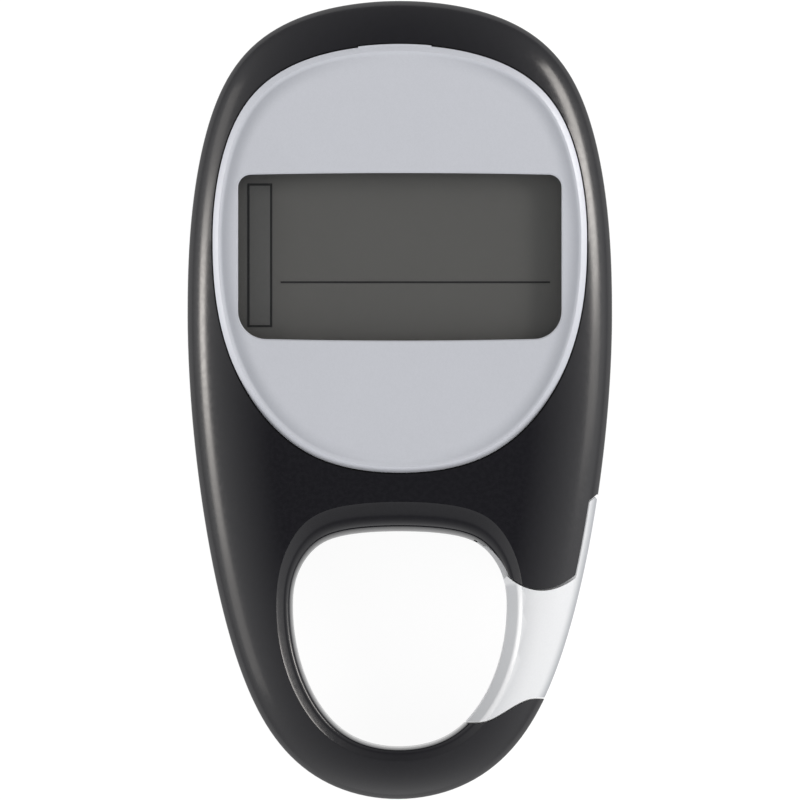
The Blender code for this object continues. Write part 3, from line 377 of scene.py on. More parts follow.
class StageSettings(bpy.types.PropertyGroup):
    """Camera, lamps and background."""
    lens_mm: share("Lens", 1200.0, "Focal length in millimetres")
    frame_height: length("Frame height", 71.18, "Height of the picture at the case's middle")
    shift_right: length("Shift right", 0.015, "How far right of the case's middle the camera looks")
    left_key: share("Left lamp", 12.4, "Radiance of the left strip lamp at its middle")
    right_key: share("Right lamp", 11.4, "Radiance of the right strip lamp at its middle")
    sky_sides: share("Side sky", 0.6, "Radiance that the room gains towards both sides")
    sky_slant: share("Slant sky", 0.95, "Radiance that the room gains evenly towards both sides")
    sky_near: share("Near sky", 0.5, "Radiance that the room gains towards the foot of the picture")
    sky_low: share("Low sky", 0.9, "Radiance that the room gains at the horizon, below the picture")
    sky_far: share("Far sky", 0.28, "Radiance that the room gains towards the top of the picture")
    sky_high: share("High sky", 0.10, "Radiance of the room overhead")


def deselect():
    """Leave nothing selected, in object mode."""
    bpy.ops.object.select_all(action="DESELECT")


def only(thing):
    """Select one object and make it the active one."""
    deselect()
    thing.select_set(True)
    bpy.context.view_layer.objects.active = thing


def level(outline, height):
    """A plan outline at one height."""
    return [(x, y, height) for x, y in outline]


def set_corners(thing, spots):
    """Move the selected face's corners to their places."""
    bm = bmesh.from_edit_mesh(thing.data)
    cap = next(face for face in bm.faces if face.select)
    for vert, spot in zip(cap.verts, spots):
        vert.co = spot
    bmesh.update_edit_mesh(thing.data)


def drawn_up(name, levels):
    """A closed solid: a filled circle, extruded level by level with each level's corners placed."""
    deselect()
    bpy.ops.mesh.primitive_circle_add(vertices=len(levels[0]), fill_type="NGON", radius=MM)
    thing = bpy.context.object
    thing.name = name
    bpy.ops.object.mode_set(mode="EDIT")
    set_corners(thing, levels[0])
    for spots in levels[1:]:
        bpy.ops.mesh.extrude_region_move()
        set_corners(thing, spots)
    bpy.ops.mesh.select_all(action="SELECT")
    bpy.ops.mesh.normals_make_consistent(inside=False)
    bpy.ops.object.mode_set(mode="OBJECT")
    return thing


def column(name, outline, low, high):
    """A plan outline drawn up from one height to another."""
    return drawn_up(name, [level(outline, low), level(outline, high)])


def turned(name, center, section, steps=ROUND_STEPS):
    """A round solid about an upright line, by its (radius, height) from one end to the other."""
    return drawn_up(name, [level(disc(center, radius, steps), height) for radius, height in section])


def joined(name, things):
    """Several separate solids as one object."""
    deselect()
    for thing in things:
        thing.select_set(True)
    bpy.context.view_layer.objects.active = things[0]
    bpy.ops.object.join()
    things[0].name = name
    return things[0]


def boolean(thing, operation, *others):
    """Cut, join or keep what is common with each other solid, and remove that solid."""
    for other in others:
        only(thing)
        bpy.ops.object.modifier_add(type="BOOLEAN")
        change = thing.modifiers[-1]
        change.operation = operation
        change.object = other
        change.solver = "EXACT"
        bpy.ops.object.modifier_apply(modifier=change.name)
        bpy.data.objects.remove(other, do_unlink=True)


def cut(thing, *others):
    """Take other solids away from a piece."""
    boolean(thing, "DIFFERENCE", *others)


def unite(thing, *others):
    """Add other solids to a piece."""
    boolean(thing, "UNION", *others)


def bevel(thing, width, segments):
    """Round a piece's sharp edges."""
    only(thing)
    bpy.ops.object.modifier_add(type="BEVEL")
    change = thing.modifiers[-1]
    change.width = width
    change.segments = segments
    change.limit_method = "ANGLE"
    change.angle_limit = SOFT_ANGLE
    change.harden_normals = False
    bpy.ops.object.modifier_apply(modifier=change.name)


def smooth(thing, angle=SMOOTH_ANGLE):
    """Smooth shading up to an angle, with flat faces kept level."""
    only(thing)
    bpy.ops.object.shade_smooth_by_angle(angle=angle)
    bpy.ops.object.modifier_add(type="WEIGHTED_NORMAL")
    change = thing.modifiers[-1]
    change.keep_sharp = True
    bpy.ops.object.modifier_apply(modifier=change.name)


def finished(thing, body, finish, *nodes):
    """Give a piece its finish, its body and the nodes that it stands for."""
    thing.data.materials.clear()
    thing.data.materials.append(FINISHES[finish])
    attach(thing, body)
    if nodes:
        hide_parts(*nodes)


def round_point(center, radius, turn):
    """A point at a distance and an angle from a centre."""
    return (center[0] + radius * math.cos(turn), center[1] + radius * math.sin(turn))


def disc(center, radius, steps=ROUND_STEPS):
    """Points around a circle."""
    return [round_point(center, radius, math.tau * step / steps) for step in range(steps)]


def arc(center, radius, start, end, steps=CORNER_STEPS):
    """Points along an arc between two angles in degrees."""
    turns = [math.radians(start + (end - start) * step / steps) for step in range(steps + 1)]
    return [round_point(center, radius, turn) for turn in turns]


def slot_outline(center, half, radius, steps=CORNER_STEPS):
    """A slot that lies along X: two half rounds about points at a distance from its centre."""
    x, y = center
    return arc((x + half, y), radius, -90, 90, steps) + arc((x - half, y), radius, 90, 270, steps)


def rectangle(low, high):
    """The four corners of a rectangle in plan."""
    return [(low[0], low[1]), (high[0], low[1]), (high[0], high[1]), (low[0], high[1])]


def around(center, half_x, half_y):
    """The four corners of a rectangle in plan about its centre."""
    return rectangle((center[0] - half_x, center[1] - half_y), (center[0] + half_x, center[1] + half_y))


def grown(egg, side, top=None, foot=None):
    """The same egg with more on its sides, top and foot, or less where that is negative."""
    top = side if top is None else top
    foot = side if foot is None else foot
    return egg._replace(half_width=egg.half_width + side, top=egg.top + top, foot=egg.foot - foot)


def narrowing(egg, upper, part):
    """How much an egg has narrowed at a share of its way to an end: 0 at its widest, 1 at the end."""
    power, far_power, far_share = egg.upper if upper else egg.lower
    return (1 - far_share) * part ** power + far_share * part ** far_power


def outline_of(egg):
    """Points around an egg from its top to the left, evenly spaced."""
    fine = []
    for step in range(FINE_STEPS + 1):
        turn = math.tau * step / FINE_STEPS
        part = abs(math.cos(turn))
        upper = math.cos(turn) >= 0
        reach = egg.top - egg.widest if upper else egg.foot - egg.widest
        x = egg.half_width * math.sqrt(max(1 - narrowing(egg, upper, part), 0))
        lean = 0 if upper else egg.lean * part * part
        fine.append((lean - x if turn < math.pi else lean + x, egg.widest + reach * part))
    runs = [0]
    for start, end in zip(fine, fine[1:]):
        runs.append(runs[-1] + math.dist(start, end))
    points = []
    index = 0
    for step in range(egg.points):
        run = runs[-1] * step / egg.points
        while runs[index + 1] <= run:
            index += 1
        part = (run - runs[index]) / (runs[index + 1] - runs[index])
        points.append(tuple(a + (b - a) * part for a, b in zip(fine[index], fine[index + 1])))
    return points


def outside(egg, x, y):
    """Above 0 where a place lies outside an egg, and below where it lies inside."""
    upper = y >= egg.widest
    part = abs(y - egg.widest) / (egg.top - egg.widest if upper else egg.widest - egg.foot)
    lean = 0 if upper else egg.lean * part * part
    return ((x - lean) / egg.half_width) ** 2 + narrowing(egg, upper, part) - 1


def egg_between(half_width, top, foot, curves, points, lean=0):
    """An egg of some curves between two heights."""
    widest, upper, lower = curves
    return Egg(half_width, top, foot, foot + (top - foot) * widest, upper, lower, points, lean)


BODY = egg_between(
    min(FRONT_HIGH.x, -FRONT_LOW.x), FRONT_HIGH.y, FRONT_LOW.y, BODY_CURVES, BODY_POINTS, BODY_LEAN,
)


def plate_like(half_width, top, foot):
    """An egg of the face plate's kind between two heights."""
    return egg_between(half_width, top, foot, PLATE_CURVES, PLATE_POINTS)


PLATE = plate_like(
    PLATE_HIGH.x + PLATE_CHANGE[0], PLATE_HIGH.y + PLATE_CHANGE[1], PLATE_LOW.y + PLATE_CHANGE[2],
)


def loop_egg(loop):
    """The loop's opening."""
    return egg_between(loop.half_width, loop.top, loop.foot, LOOP_CURVES, LOOP_POINTS, LOOP_LEAN)


def lip_ring(loop, part):
    """The loop's opening grown by a share of its lip's width."""
    return grown(loop_egg(loop), loop.lip_side * part, loop.lip_top * part, loop.lip_foot * part)


def eased(part):
    """A share from 0 to 1 that starts and ends gently."""
    part = min(max(part, 0), 1)
    return part * part * (3 - 2 * part)


def mark_shade(thing, share_at):
    """Keep on each corner of a piece how much painted shade darkens its colour there."""
    shade = thing.data.attributes.new("painted_shade", "FLOAT", "POINT")
    for vert, value in zip(thing.data.vertices, shade.data):
        value.value = eased(share_at(vert.co.x, vert.co.y))


def crown_start(case):
    """Angle from upright of the crown's normal where the side wall cuts it off."""
    turn = math.acos(1 - case.crown_cut / case.crown_reach)
    return math.atan2(case.crown_rise, case.crown_reach * math.tan(turn))


def turns_over(reach, rise, steps, start=WALL):
    """Steps of (how far in, how far up) round part of an oval, at even turns of its normal."""
    places = []
    for step in range(steps + 1):
        lean = start * (1 - step / steps)
        turn = math.atan2(rise * math.cos(lean), reach * math.sin(lean))
        places.append((reach * (1 - math.cos(turn)), rise * math.sin(turn)))
    return places


def crown_offset(case):
    """How far in from the outline the oval of the front's curve would start."""
    return case.wall_draft + case.crown_edge * (1 - math.sin(crown_start(case))) - case.crown_cut


def front_levels(case, inset, start):
    """Levels from the seam up the side wall and over the crowned front."""
    levels = [
        level(outline_of(grown(BODY, -inset - case.seam_edge)), start),
        level(outline_of(grown(BODY, -inset)), start + case.seam_edge),
    ]
    steepest = crown_start(case)
    curve = turns_over(case.crown_reach, case.crown_rise, CROWN_STEPS, steepest)
    low = TOP - inset - case.crown_rise + curve[0][1]
    for step in range(EDGE_STEPS):
        lean = WALL + (steepest - WALL) * step / EDGE_STEPS
        outline = outline_of(grown(BODY, -inset - case.wall_draft - case.crown_edge * (1 - math.sin(lean))))
        levels.append(level(outline, low + case.crown_edge * (math.cos(lean) - math.cos(steepest))))
    for step_in, step_up in curve:
        outline = outline_of(grown(BODY, -inset - crown_offset(case) - step_in))
        levels.append(level(outline, TOP - inset - case.crown_rise + step_up))
    return levels


def back_levels(case, inset, start):
    """Levels from the back up its rolled edge to the seam."""
    levels = [
        level(outline_of(grown(BODY, -inset - case.seam_edge)), start),
        level(outline_of(grown(BODY, -inset)), start - case.seam_edge),
    ]
    for step_in, step_up in turns_over(case.back_roll, start - case.seam_edge - inset, BACK_STEPS)[1:]:
        levels.append(level(outline_of(grown(BODY, -inset - step_in)), start - case.seam_edge - step_up))
    return levels[::-1]


def inset_of(egg, x, y, most):
    """How far in from an egg's outline a place lies, up to a limit."""
    near, far = 0, most
    if outside(grown(egg, -far), x, y) < 0:
        return most
    for _ in range(INSET_HALVINGS):
        inset = (near + far) / 2
        if outside(grown(egg, -inset), x, y) > 0:
            far = inset
        else:
            near = inset
    return near


def front_height(case, x, y):
    """Height of the crowned front at a place in plan."""
    offset = crown_offset(case)
    inset = inset_of(BODY, x, y, offset + case.crown_reach)
    part = min((inset - offset) / case.crown_reach, 1)
    return TOP - case.crown_rise * (1 - math.sqrt(1 - (1 - part) ** 2))


def loop_cutter(case, loop, section):
    """The hole of the loop, with a lip of some section at the front and a plain round at the back."""

    def ring(part):
        """Outline at a share of the lip's width."""
        return outline_of(lip_ring(loop, part))

    levels = [level(ring(1), -MM)]
    for step in range(LIP_STEPS + 1):
        turn = WALL * (1 - step / LIP_STEPS)
        levels.append(level(ring(1 - math.cos(turn)), loop.back_lip * (1 - math.sin(turn)) - BACK_LIP_SINK))
    # Where the lip is narrower than at its top, it is also shallower, by half as much
    crest = [front_height(case, x, y) for x, y in ring(1)]
    widths = [math.dist(one, two) / loop.lip_top for one, two in zip(ring(1), ring(0))]
    for part, drop in section:
        spots = zip(ring(part), crest, widths)
        levels.append([(x, y, high - drop * (1 + width) / 2 * MM) for (x, y), high, width in spots])
    clear = ring(HOLE_CLEARANCE)
    return drawn_up("loop_hole", levels + [level(clear, TOP + SLACK), level(clear, TOP + MM)])


def nose_line(loop, lift):
    """The step between nose and gate, from outside the case to inside the loop."""
    high, foot = loop.foot + 2 * NOSE_RISE + lift, loop.foot + NOSE_RISE
    line = [(BODY.half_width + MM, high)]
    for step in range(NOSE_STEPS, -1, -1):
        part = step / NOSE_STEPS
        line.append((PIVOT[0] + NOSE_START + NOSE_RUN * part, foot + NOSE_RISE * eased(part) + lift))
    return line + [(PIVOT[0] - GATE_REACH, foot + lift)]


def stepped_disc(large, small, start, end):
    """Points round the pivot: one radius between two angles in degrees, and a smaller one after."""
    return arc(PIVOT, large, start, end, WELL_STEPS) + arc(PIVOT, small, end, start + 360, ARC_STEPS)


def by_pivot(left, foot, right, head):
    """A rectangle by its sides' distances from the pivot."""
    return rectangle((PIVOT[0] + left, PIVOT[1] + foot), (PIVOT[0] + right, PIVOT[1] + head))


def ear_line(radius, squeeze, start):
    """Points round the pivot from an angle to the ear's end, drawn in towards the outer side."""
    line = []
    for step in range(ARC_STEPS + 1):
        turn = start + (EAR_END - start) * step / ARC_STEPS
        reach = radius - squeeze * eased((turn - SQUEEZE_START) / SQUEEZE_SPAN)
        line.append(round_point(PIVOT, reach, math.radians(turn)))
    return line


def gate_window(loop):
    """Plan of the opening in the case where the gate swings: under the ear, down to the nose."""
    ear = ear_line(loop.ear_radius, loop.ear_squeeze, EAR_START)
    corner = (PIVOT[0] - EAR_CORNER[0], PIVOT[1] - EAR_CORNER[1])
    inside = (PIVOT[0] - GATE_REACH, corner[1])
    return ear + [(BODY.half_width + MM, ear[-1][1])] + nose_line(loop, 0) + [inside, corner]


def gate_room(loop):
    """What the case loses round the gate: its window, the knuckle's pocket and the pin's hole."""
    pocket = stepped_disc(loop.knuckle_radius + SLACK, *POCKET_NECK)
    return (
        column("gate_window", gate_window(loop), -MM, TOP + MM),
        column("knuckle_pocket", pocket, loop.ear_thickness, TOP - loop.ear_thickness),
        column("pin_hole", disc(PIVOT, PIN_HOLE_RADIUS), PIN_LOW.z - PIN_PLAY, PIN_HIGH.z + PIN_PLAY),
    )


def window_outline(width, height, top_corner, foot_corner, arch=0.0, lift=0.0):
    """A round-cornered window about the display's middle, with its long sides slightly arched."""
    left, right = -width / 2, width / 2
    high, low = DISPLAY_Y + lift + height / 2, DISPLAY_Y + lift - height / 2
    corners = [
        (right - top_corner, high - arch - top_corner, top_corner, 0, arch),
        (left + top_corner, high - arch - top_corner, top_corner, 90, 0),
        (left + foot_corner, low + arch + foot_corner, foot_corner, 180, -arch),
        (right - foot_corner, low + arch + foot_corner, foot_corner, 270, 0),
    ]
    points = []
    for x, y, radius, start, bulge in corners:
        points += arc((x, y), radius, start, start + 90)
        end_x, end_y = points[-1]
        parts = [step / ARC_STEPS for step in range(1, ARC_STEPS)] if bulge else []
        points += [(end_x * (1 - 2 * part), end_y + bulge * 4 * part * (1 - part)) for part in parts]
    return points


def middle(node):
    """Centre of a node in plan."""
    low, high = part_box(node)
    return ((low.x + high.x) / 2, (low.y + high.y) / 2)


def pilot_holes(low, high):
    """The case screws' holes, as one cutter."""
    holes = [
        column("pilot", disc(middle(node), PILOT_RADIUS, PILOT_STEPS), low, high) for node in CASE_SCREWS
    ]
    return joined("pilots", holes)


def case_cavity(case, loop):
    """Outline of the room inside the case, above the loop."""
    return outline_of(plate_like(BODY.half_width - case.side_wall, BODY.top - TOP_WALL, loop.top + LOOP_ROOF))


def add_posts(shell, low, high):
    """Add to a shell the posts of the two case screws beside the display."""
    for node in CASE_SCREWS[:2]:
        unite(shell, column("post", disc(middle(node), POST_RADIUS, POST_STEPS), low, high))


def build_front_case(case, loop, panel):
    """The black front half: crowned face, plate's recess, display's opening and loop."""
    seam = MIDDLE + case.seam_gap / 2
    floor = TOP - case.recess_depth
    ceiling = TOP - case.ceiling_depth
    shell = drawn_up("front_case", front_levels(case, 0, seam))
    cut(shell, top_tab("tab_room", panel, case.fit_gap, floor, TOP + MM))
    recess = column("recess", outline_of(grown(PLATE, case.fit_gap)), floor, TOP + MM)
    cut(shell, recess, column("cavity", case_cavity(case, loop), MIDDLE - MM, ceiling))
    opening = window_outline(
        LENS_HIGH.x - LENS_LOW.x + OPENING_SLACK, LENS_HIGH.y - LENS_LOW.y + OPENING_SLACK, OPENING_CORNER,
        OPENING_CORNER,
    )
    cut(shell, column("opening", opening, ceiling - MM, floor + MM))
    add_posts(shell, seam, ceiling + EMBED)
    cut(shell, loop_cutter(case, loop, LIP_SECTION), *gate_room(loop))
    set_back = column("set_back", outline_of(grown(loop_egg(loop), loop.ear_set_back, 0)), -MM, TOP + MM)
    boolean(set_back, "INTERSECT", column("near_ear", by_pivot(*NEAR_EAR), MIDDLE, TOP))
    cut(shell, set_back)
    cut(shell, pilot_holes(MIDDLE - MM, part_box("case_screw_1")[1].z + PILOT_END))
    smooth(shell)
    return shell


def cover_outlines(slack):
    """The round cover and its screw tab, with slack all round."""
    tab = disc(middle("battery_cover_screw"), TAB_RADIUS + slack)
    return disc(COVER_CENTER, COVER_RADIUS + slack, WELL_STEPS), tab


def add_battery_seats(shell, root):
    """Add to the rear shell the rings round the battery and its cover, and the cover screw's post."""
    center = middle("battery_cell")
    tab_screw = middle("battery_cover_screw")
    seat = disc(center, CELL_BORE + SEAT_RING, WELL_STEPS)
    well = disc(center, CELL_BORE + WELL_RING, WELL_STEPS)
    unite(shell, column("seat", seat, root, COVER_SEAT + SEAT_RISE))
    unite(shell, column("tab_seat", disc(tab_screw, TAB_SEAT_RADIUS), root, COVER_SEAT + TAB_SEAT_RISE))
    unite(shell, column("well", well, root, CELL_HIGH.z + WELL_RISE))
    unite(shell, column("post", disc(tab_screw, POST_RADIUS), root, CELL_HIGH.z + EMBED))


def cut_battery_room(shell, slack):
    """Cut the battery's bore, the cover's seat and the contact's notch."""
    center = middle("battery_cell")
    cut(shell, column("bore", disc(center, CELL_BORE, WELL_STEPS), -MM, TOP))
    for outline in cover_outlines(slack):
        cut(shell, column("cover_seat", outline, -MM, COVER_SEAT))
    low = (CELL_BORE - SLACK, center[1] - NOTCH_HALF)
    high = (CELL_BORE + NOTCH_DEPTH, center[1] + NOTCH_HALF)
    cut(shell, column("notch", rectangle(low, high), COVER_SEAT + SLACK, TOP))


def button_dish(depth):
    """The shallow dish round the buttons, a little wider at the back's face."""
    dish_y = middle("set_button")[1]
    dish = slot_outline((0, dish_y), middle("reset_button")[0], DISH_RADIUS, ARC_STEPS)
    wide = [(x * DISH_FLARE[0], dish_y + (y - dish_y) * DISH_FLARE[1]) for x, y in dish]
    return drawn_up("dish", [level(wide, -MM), level(wide, 0), level(dish, depth)])


def screw_sinks():
    """The recesses over the case screws' heads, as one cutter."""
    sinks = []
    for node in CASE_SCREWS:
        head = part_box(node)[0].z
        sinks.append(turned("sink", middle(node), [
            (HEAD_HOLE_RADIUS + SINK_EDGE, -MM), (HEAD_HOLE_RADIUS + SINK_EDGE, 0),
            (HEAD_HOLE_RADIUS, SINK_EDGE), (HEAD_HOLE_RADIUS, head + SINK_DEPTH),
        ], HEAD_STEPS))
    return joined("sinks", sinks)


def build_rear_case(case, loop):
    """The black back half: rolled edge, cover's seat, buttons' dish, screw sinks and loop."""
    seam = MIDDLE - case.seam_gap / 2
    root = case.back_wall - EMBED
    shell = drawn_up("rear_case", back_levels(case, 0, seam))
    cut(shell, column("hollow", case_cavity(case, loop), case.back_wall, TOP))
    add_battery_seats(shell, root)
    add_posts(shell, root, seam)
    cut_battery_room(shell, case.fit_gap)
    cut(shell, button_dish(case.dish_depth))
    hole = BUTTON_RADIUS + case.fit_gap
    holes = [column("hole", disc(middle(node), hole), -MM, case.back_wall + MM) for node in BUTTONS]
    cut(shell, joined("holes", holes))
    cut(shell, loop_cutter(case, loop, LIP_SECTION), *gate_room(loop))
    cut(shell, screw_sinks(), pilot_holes(PILOT_FOOT, TOP))
    tab_pilot = disc(middle("battery_cover_screw"), PILOT_RADIUS, PILOT_STEPS)
    cut(shell, column("tab_pilot", tab_pilot, MM, CELL_HIGH.z))
    cut(shell, column("spring_notch", by_pivot(*SPRING_NOTCH), loop.ear_thickness + SLACK, TOP))
    smooth(shell)
    return shell


def build_gate_bar(case, loop):
    """The silver gate: a bar as deep as the case, and a thinner knuckle between the ears."""
    back = back_levels(case, loop.gate_inset, MIDDLE)
    front = front_levels(case, loop.gate_inset, MIDDLE)
    bar = drawn_up("gate_bar", back[:-2] + front[2:])
    shoulder = ear_line(loop.ear_radius + loop.gate_gap, loop.shoulder_squeeze, SHOULDER_START)
    inner = round_point(PIVOT, GATE_REACH, math.radians(SHOULDER_START))
    plan = shoulder + [(BODY.half_width + MM, shoulder[-1][1])] + nose_line(loop, loop.gate_gap) + [inner]
    keep = column("keep", plan, -MM, TOP + MM)
    low = loop.ear_thickness + loop.gate_gap
    unite(keep, column("knuckle", stepped_disc(loop.knuckle_radius, *KNUCKLE_NECK), low, TOP - low))
    boolean(bar, "INTERSECT", keep)
    cut(bar, loop_cutter(case, loop, GATE_LIP_SECTION))
    cut(bar, column("pin_bore", disc(PIVOT, PIN_HOLE_RADIUS), -MM, TOP + MM))
    well_high = loop.ear_thickness + SPRING_WELL_DEPTH
    cut(bar, column("spring_well", disc(PIVOT, SPRING_WELL_RADIUS), -MM, well_high))
    relief_high = loop.ear_thickness + SPRING_RELIEF_DEPTH
    cut(bar, column("spring_relief", by_pivot(*SPRING_RELIEF), 0, relief_high))
    cut(bar, column("spring_slot", by_pivot(*SPRING_SLOT), 0, well_high))
    smooth(bar)

    def greyer(x, y):
        """How much painted shade darkens the gate at the outer edge, just past the lip and on its slope."""
        edge = 1 - inset_of(BODY, x, y, loop.edge_painted_shade) / loop.edge_painted_shade
        past = outside(lip_ring(loop, 1), x, y) * loop.half_width / 2
        crest = CREST_SHADE * (1 - past / CREST_FADE) if past > -CREST_LINE else 0
        on_slope = outside(lip_ring(loop, SLOPE_PART), x, y) < 0 and y < PIVOT[1] - SLOPE_TOP
        return max(edge, crest, SLOPE_SHADE if on_slope else 0)

    # Painted shade on the gate: its outer edge, the band past its lip and its slope below the ear
    mark_shade(bar, greyer)
    return bar


def top_tab(name, panel, slack, low, high):
    """The shallow tab at the plate's top, or with slack the room for it."""
    tab = column(name, outline_of(grown(PLATE, panel.tab_rise + slack)), low, high)
    span = rectangle((panel.tab_left - slack, 0), (panel.tab_right + slack, BODY.top))
    boolean(tab, "INTERSECT", column("span", span, -MM, TOP + MM + MM))
    return tab


def plate_section(panel):
    """The plate's section from its underside inwards: (how far in, height)."""
    drop, fall = panel.edge_drop, panel.valley_depth
    section = [(0, PLATE_LOW.z)]
    section += [(inset, TOP - drop * deep) for inset, deep in PLATE_FOOT]
    section += [(panel.edge + inset, TOP - drop * deep) for inset, deep in PLATE_BROW]
    span = panel.valley - panel.rim
    section += [(panel.rim + span * part, TOP - fall * deep) for part, deep in VALLEY_SIDE]
    span, rise = panel.field - panel.valley, fall - panel.field_drop
    for step in range(1, FIELD_STEPS + 1):
        part = step / FIELD_STEPS
        section.append((panel.valley + span * part, TOP - fall + rise * eased(part)))
    return section


def window_cutter(panel):
    """The hole of the plate's window, wider at the face by its chamfer."""
    edge = panel.window_edge
    hole, wide = [
        window_outline(
            panel.window_width + 2 * more, panel.window_height + 2 * more, panel.window_top_corner + more,
            panel.window_foot_corner + more, panel.window_arch, panel.window_lift,
        ) for more in (0, edge)
    ]
    field = TOP - panel.field_drop
    return drawn_up("window", [
        level(hole, PLATE_LOW.z - MM), level(hole, field - edge), level(wide, field + HAIR),
        level(wide, TOP + MM),
    ])


def build_face_panel(panel):
    """The silver plate: rounded edge, raised rim, soft groove and level field, with its window."""
    plate = drawn_up("face_panel", [
        level(outline_of(grown(PLATE, -inset)), height) for inset, height in plate_section(panel)
    ])
    unite(plate, top_tab("tab", panel, 0, PLATE_LOW.z + HAIR, TOP - panel.edge_drop * TAB_DROP))
    cut(plate, window_cutter(panel))
    smooth(plate)

    def groove(x, y):
        """How much painted shade darkens the groove, which shows at the plate's sides only."""
        inset = inset_of(PLATE, x, y, panel.field)
        centre = panel.valley - GROOVE_SHIFT[0] - GROOVE_SHIFT[1] * x / PLATE.half_width
        reach = centre - panel.rim if inset < centre else panel.field - centre
        sideways = min(abs(x) / (PLATE.half_width * GROOVE_SPAN), 1)
        return (1 - abs(inset - centre) / reach) * sideways

    # Painted shade in the plate's groove
    mark_shade(plate, groove)
    return plate


def build_window_lens():
    """The clear window behind the plate."""
    outline = window_outline(LENS_HIGH.x - LENS_LOW.x, LENS_HIGH.y - LENS_LOW.y, LENS_CORNER, LENS_CORNER)
    lens = column("window_lens", outline, LENS_LOW.z, LENS_HIGH.z)
    bevel(lens, LENS_EDGE, BEVEL_STEPS)
    smooth(lens)
    return lens


def build_display_glass():
    """The blank display: a front glass with a contact ledge, and a smaller back glass."""
    split = (LCD_LOW.z + LCD_HIGH.z) / 2
    front = rectangle((LCD_LOW.x, LCD_LOW.y), (LCD_HIGH.x, LCD_HIGH.y))
    back = rectangle(
        (LCD_LOW.x + GLASS_STEP, LCD_LOW.y + GLASS_STEP), (LCD_HIGH.x - GLASS_STEP, LCD_HIGH.y - GLASS_LEDGE),
    )
    glass = column("display_glass", front, split, LCD_HIGH.z)
    unite(glass, column("back_glass", back, LCD_LOW.z, split + EMBED))
    bevel(glass, GLASS_EDGE, BEVEL_STEPS)
    smooth(glass)
    return glass


def frame_outline(inset):
    """The level bar's printed frame, or with its line's width the field inside it."""
    low, high = BAR_FRAME
    return rectangle((low[0] + inset, low[1] + inset), (high[0] - inset, high[1] - inset))


def build_display_print():
    """The frame of the level bar and the rule, printed on the display."""
    low, high = LCD_HIGH.z + HAIR, LCD_HIGH.z + PRINT_TOP
    bar_frame = column("display_print", frame_outline(0), low, high)
    cut(bar_frame, column("inside", frame_outline(PRINT_LINE), low - MM, high + MM))
    return joined("display_print", [bar_frame, column("rule", rectangle(*RULE), low, high)])


def build_bar_film():
    """The film inside the printed frame: slightly bluer than the display, and a little lighter as painted
    light against the shadow of the window's edge.
    """
    outline = frame_outline(PRINT_LINE + HAIR)
    film = column("bar_film", outline, LCD_HIGH.z + FILM_FOOT, LCD_HIGH.z + FILM_TOP)
    bevel(film, FILM_EDGE, 1)
    return film


def grip_grooves():
    """The grooves of the battery cover's grip, as one cutter."""
    grooves = []
    for index, half in enumerate(GRIP_HALVES):
        center = (0, COVER_CENTER[1] - COVER_RADIUS + GRIP_START + GRIP_PITCH * index)
        wide = slot_outline(center, half, GRIP_RADIUS)
        narrow = slot_outline(center, half, GRIP_FLOOR_RADIUS)
        grooves.append(drawn_up("grip", [level(wide, -MM), level(wide, 0), level(narrow, GRIP_DEPTH)]))
    return joined("grips", grooves)


def build_cover_disc():
    """The battery cover: a chamfered disc with a tab, a screw sink and a grip."""
    tab = cover_outlines(0)[1]
    cover = turned("cover_disc", COVER_CENTER, [
        (COVER_RADIUS - COVER_EDGE, 0),
        (COVER_RADIUS - COVER_EDGE * COVER_EDGE_BEND, COVER_EDGE * COVER_EDGE_BEND),
        (COVER_RADIUS, COVER_EDGE), (COVER_RADIUS, COVER_HIGH.z),
    ], WELL_STEPS)
    unite(cover, column("tab", tab, EMBED, COVER_HIGH.z - HAIR))
    spot = middle("battery_cover_screw")
    cut(cover, column("sink", disc(spot, HEAD_HOLE_RADIUS, HEAD_STEPS), -MM, COVER_SINK))
    cut(cover, column("hole", disc(spot, PILOT_RADIUS, PILOT_STEPS), -MM, TOP))
    cut(cover, grip_grooves())
    smooth(cover)
    return cover


def build_button_cap(node):
    """A button: a slightly domed cap, its flange and its stem."""
    low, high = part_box(node)
    flange, flange_low, flange_high = BUTTON_FLANGE
    section = [(radius, low.z + rise) for radius, rise in BUTTON_DOME] + [
        (BUTTON_RADIUS, flange_low), (flange, flange_low), (flange, flange_high), (BUTTON_STEM, flange_high),
        (BUTTON_STEM, high.z),
    ]
    cap = turned(node.replace("button", "cap"), middle(node), section)
    smooth(cap, SOFT_ANGLE)
    return cap


def build_screw(name, node):
    """A pan-head screw with a cross recess in its head, head down."""
    low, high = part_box(node)
    center = middle(node)
    radius = (high.x - low.x) / 2
    neck = low.z + (LONG_HEAD if node in CASE_SCREWS else SHORT_HEAD)
    section = [(radius - inset, low.z + rise) for inset, rise in SCREW_EDGE]
    section += [(radius, neck), (SHANK_RADIUS, neck)]
    height = neck + THREAD_PITCH
    while height < high.z - THREAD_END:
        section += [(SHANK_RADIUS - inset, height + THREAD_PITCH * part) for inset, part in THREAD_TURN]
        height += THREAD_PITCH
    section += [(SHANK_RADIUS, high.z - SCREW_POINT), (SHANK_RADIUS / 2, high.z)]
    screw = turned(name, center, section, SCREW_STEPS)
    for x, y in (CROSS_HALF, CROSS_HALF[::-1]):
        face, deep = around(center, x, y), around(center, x * CROSS_TAPER, y * CROSS_TAPER)
        cut(screw, drawn_up("cross", [
            level(face, low.z - MM), level(face, low.z), level(deep, low.z + CROSS_DEPTH),
        ]))
    smooth(screw, SOFT_ANGLE)
    return screw


# Finishes that are made, by name
FINISHES = {}
# The middle part of a noise's range, which becomes 0 to 1
NOISE_RANGE = (0.3, 0.7)
FINE_RANGE = (0.35, 0.65)
# How much more than the fine noise the slow one lifts a moulded surface
SLOW_RIPPLE = 4.0
BRUSHED_STRETCH = (1.0, 12.0, 1.0)


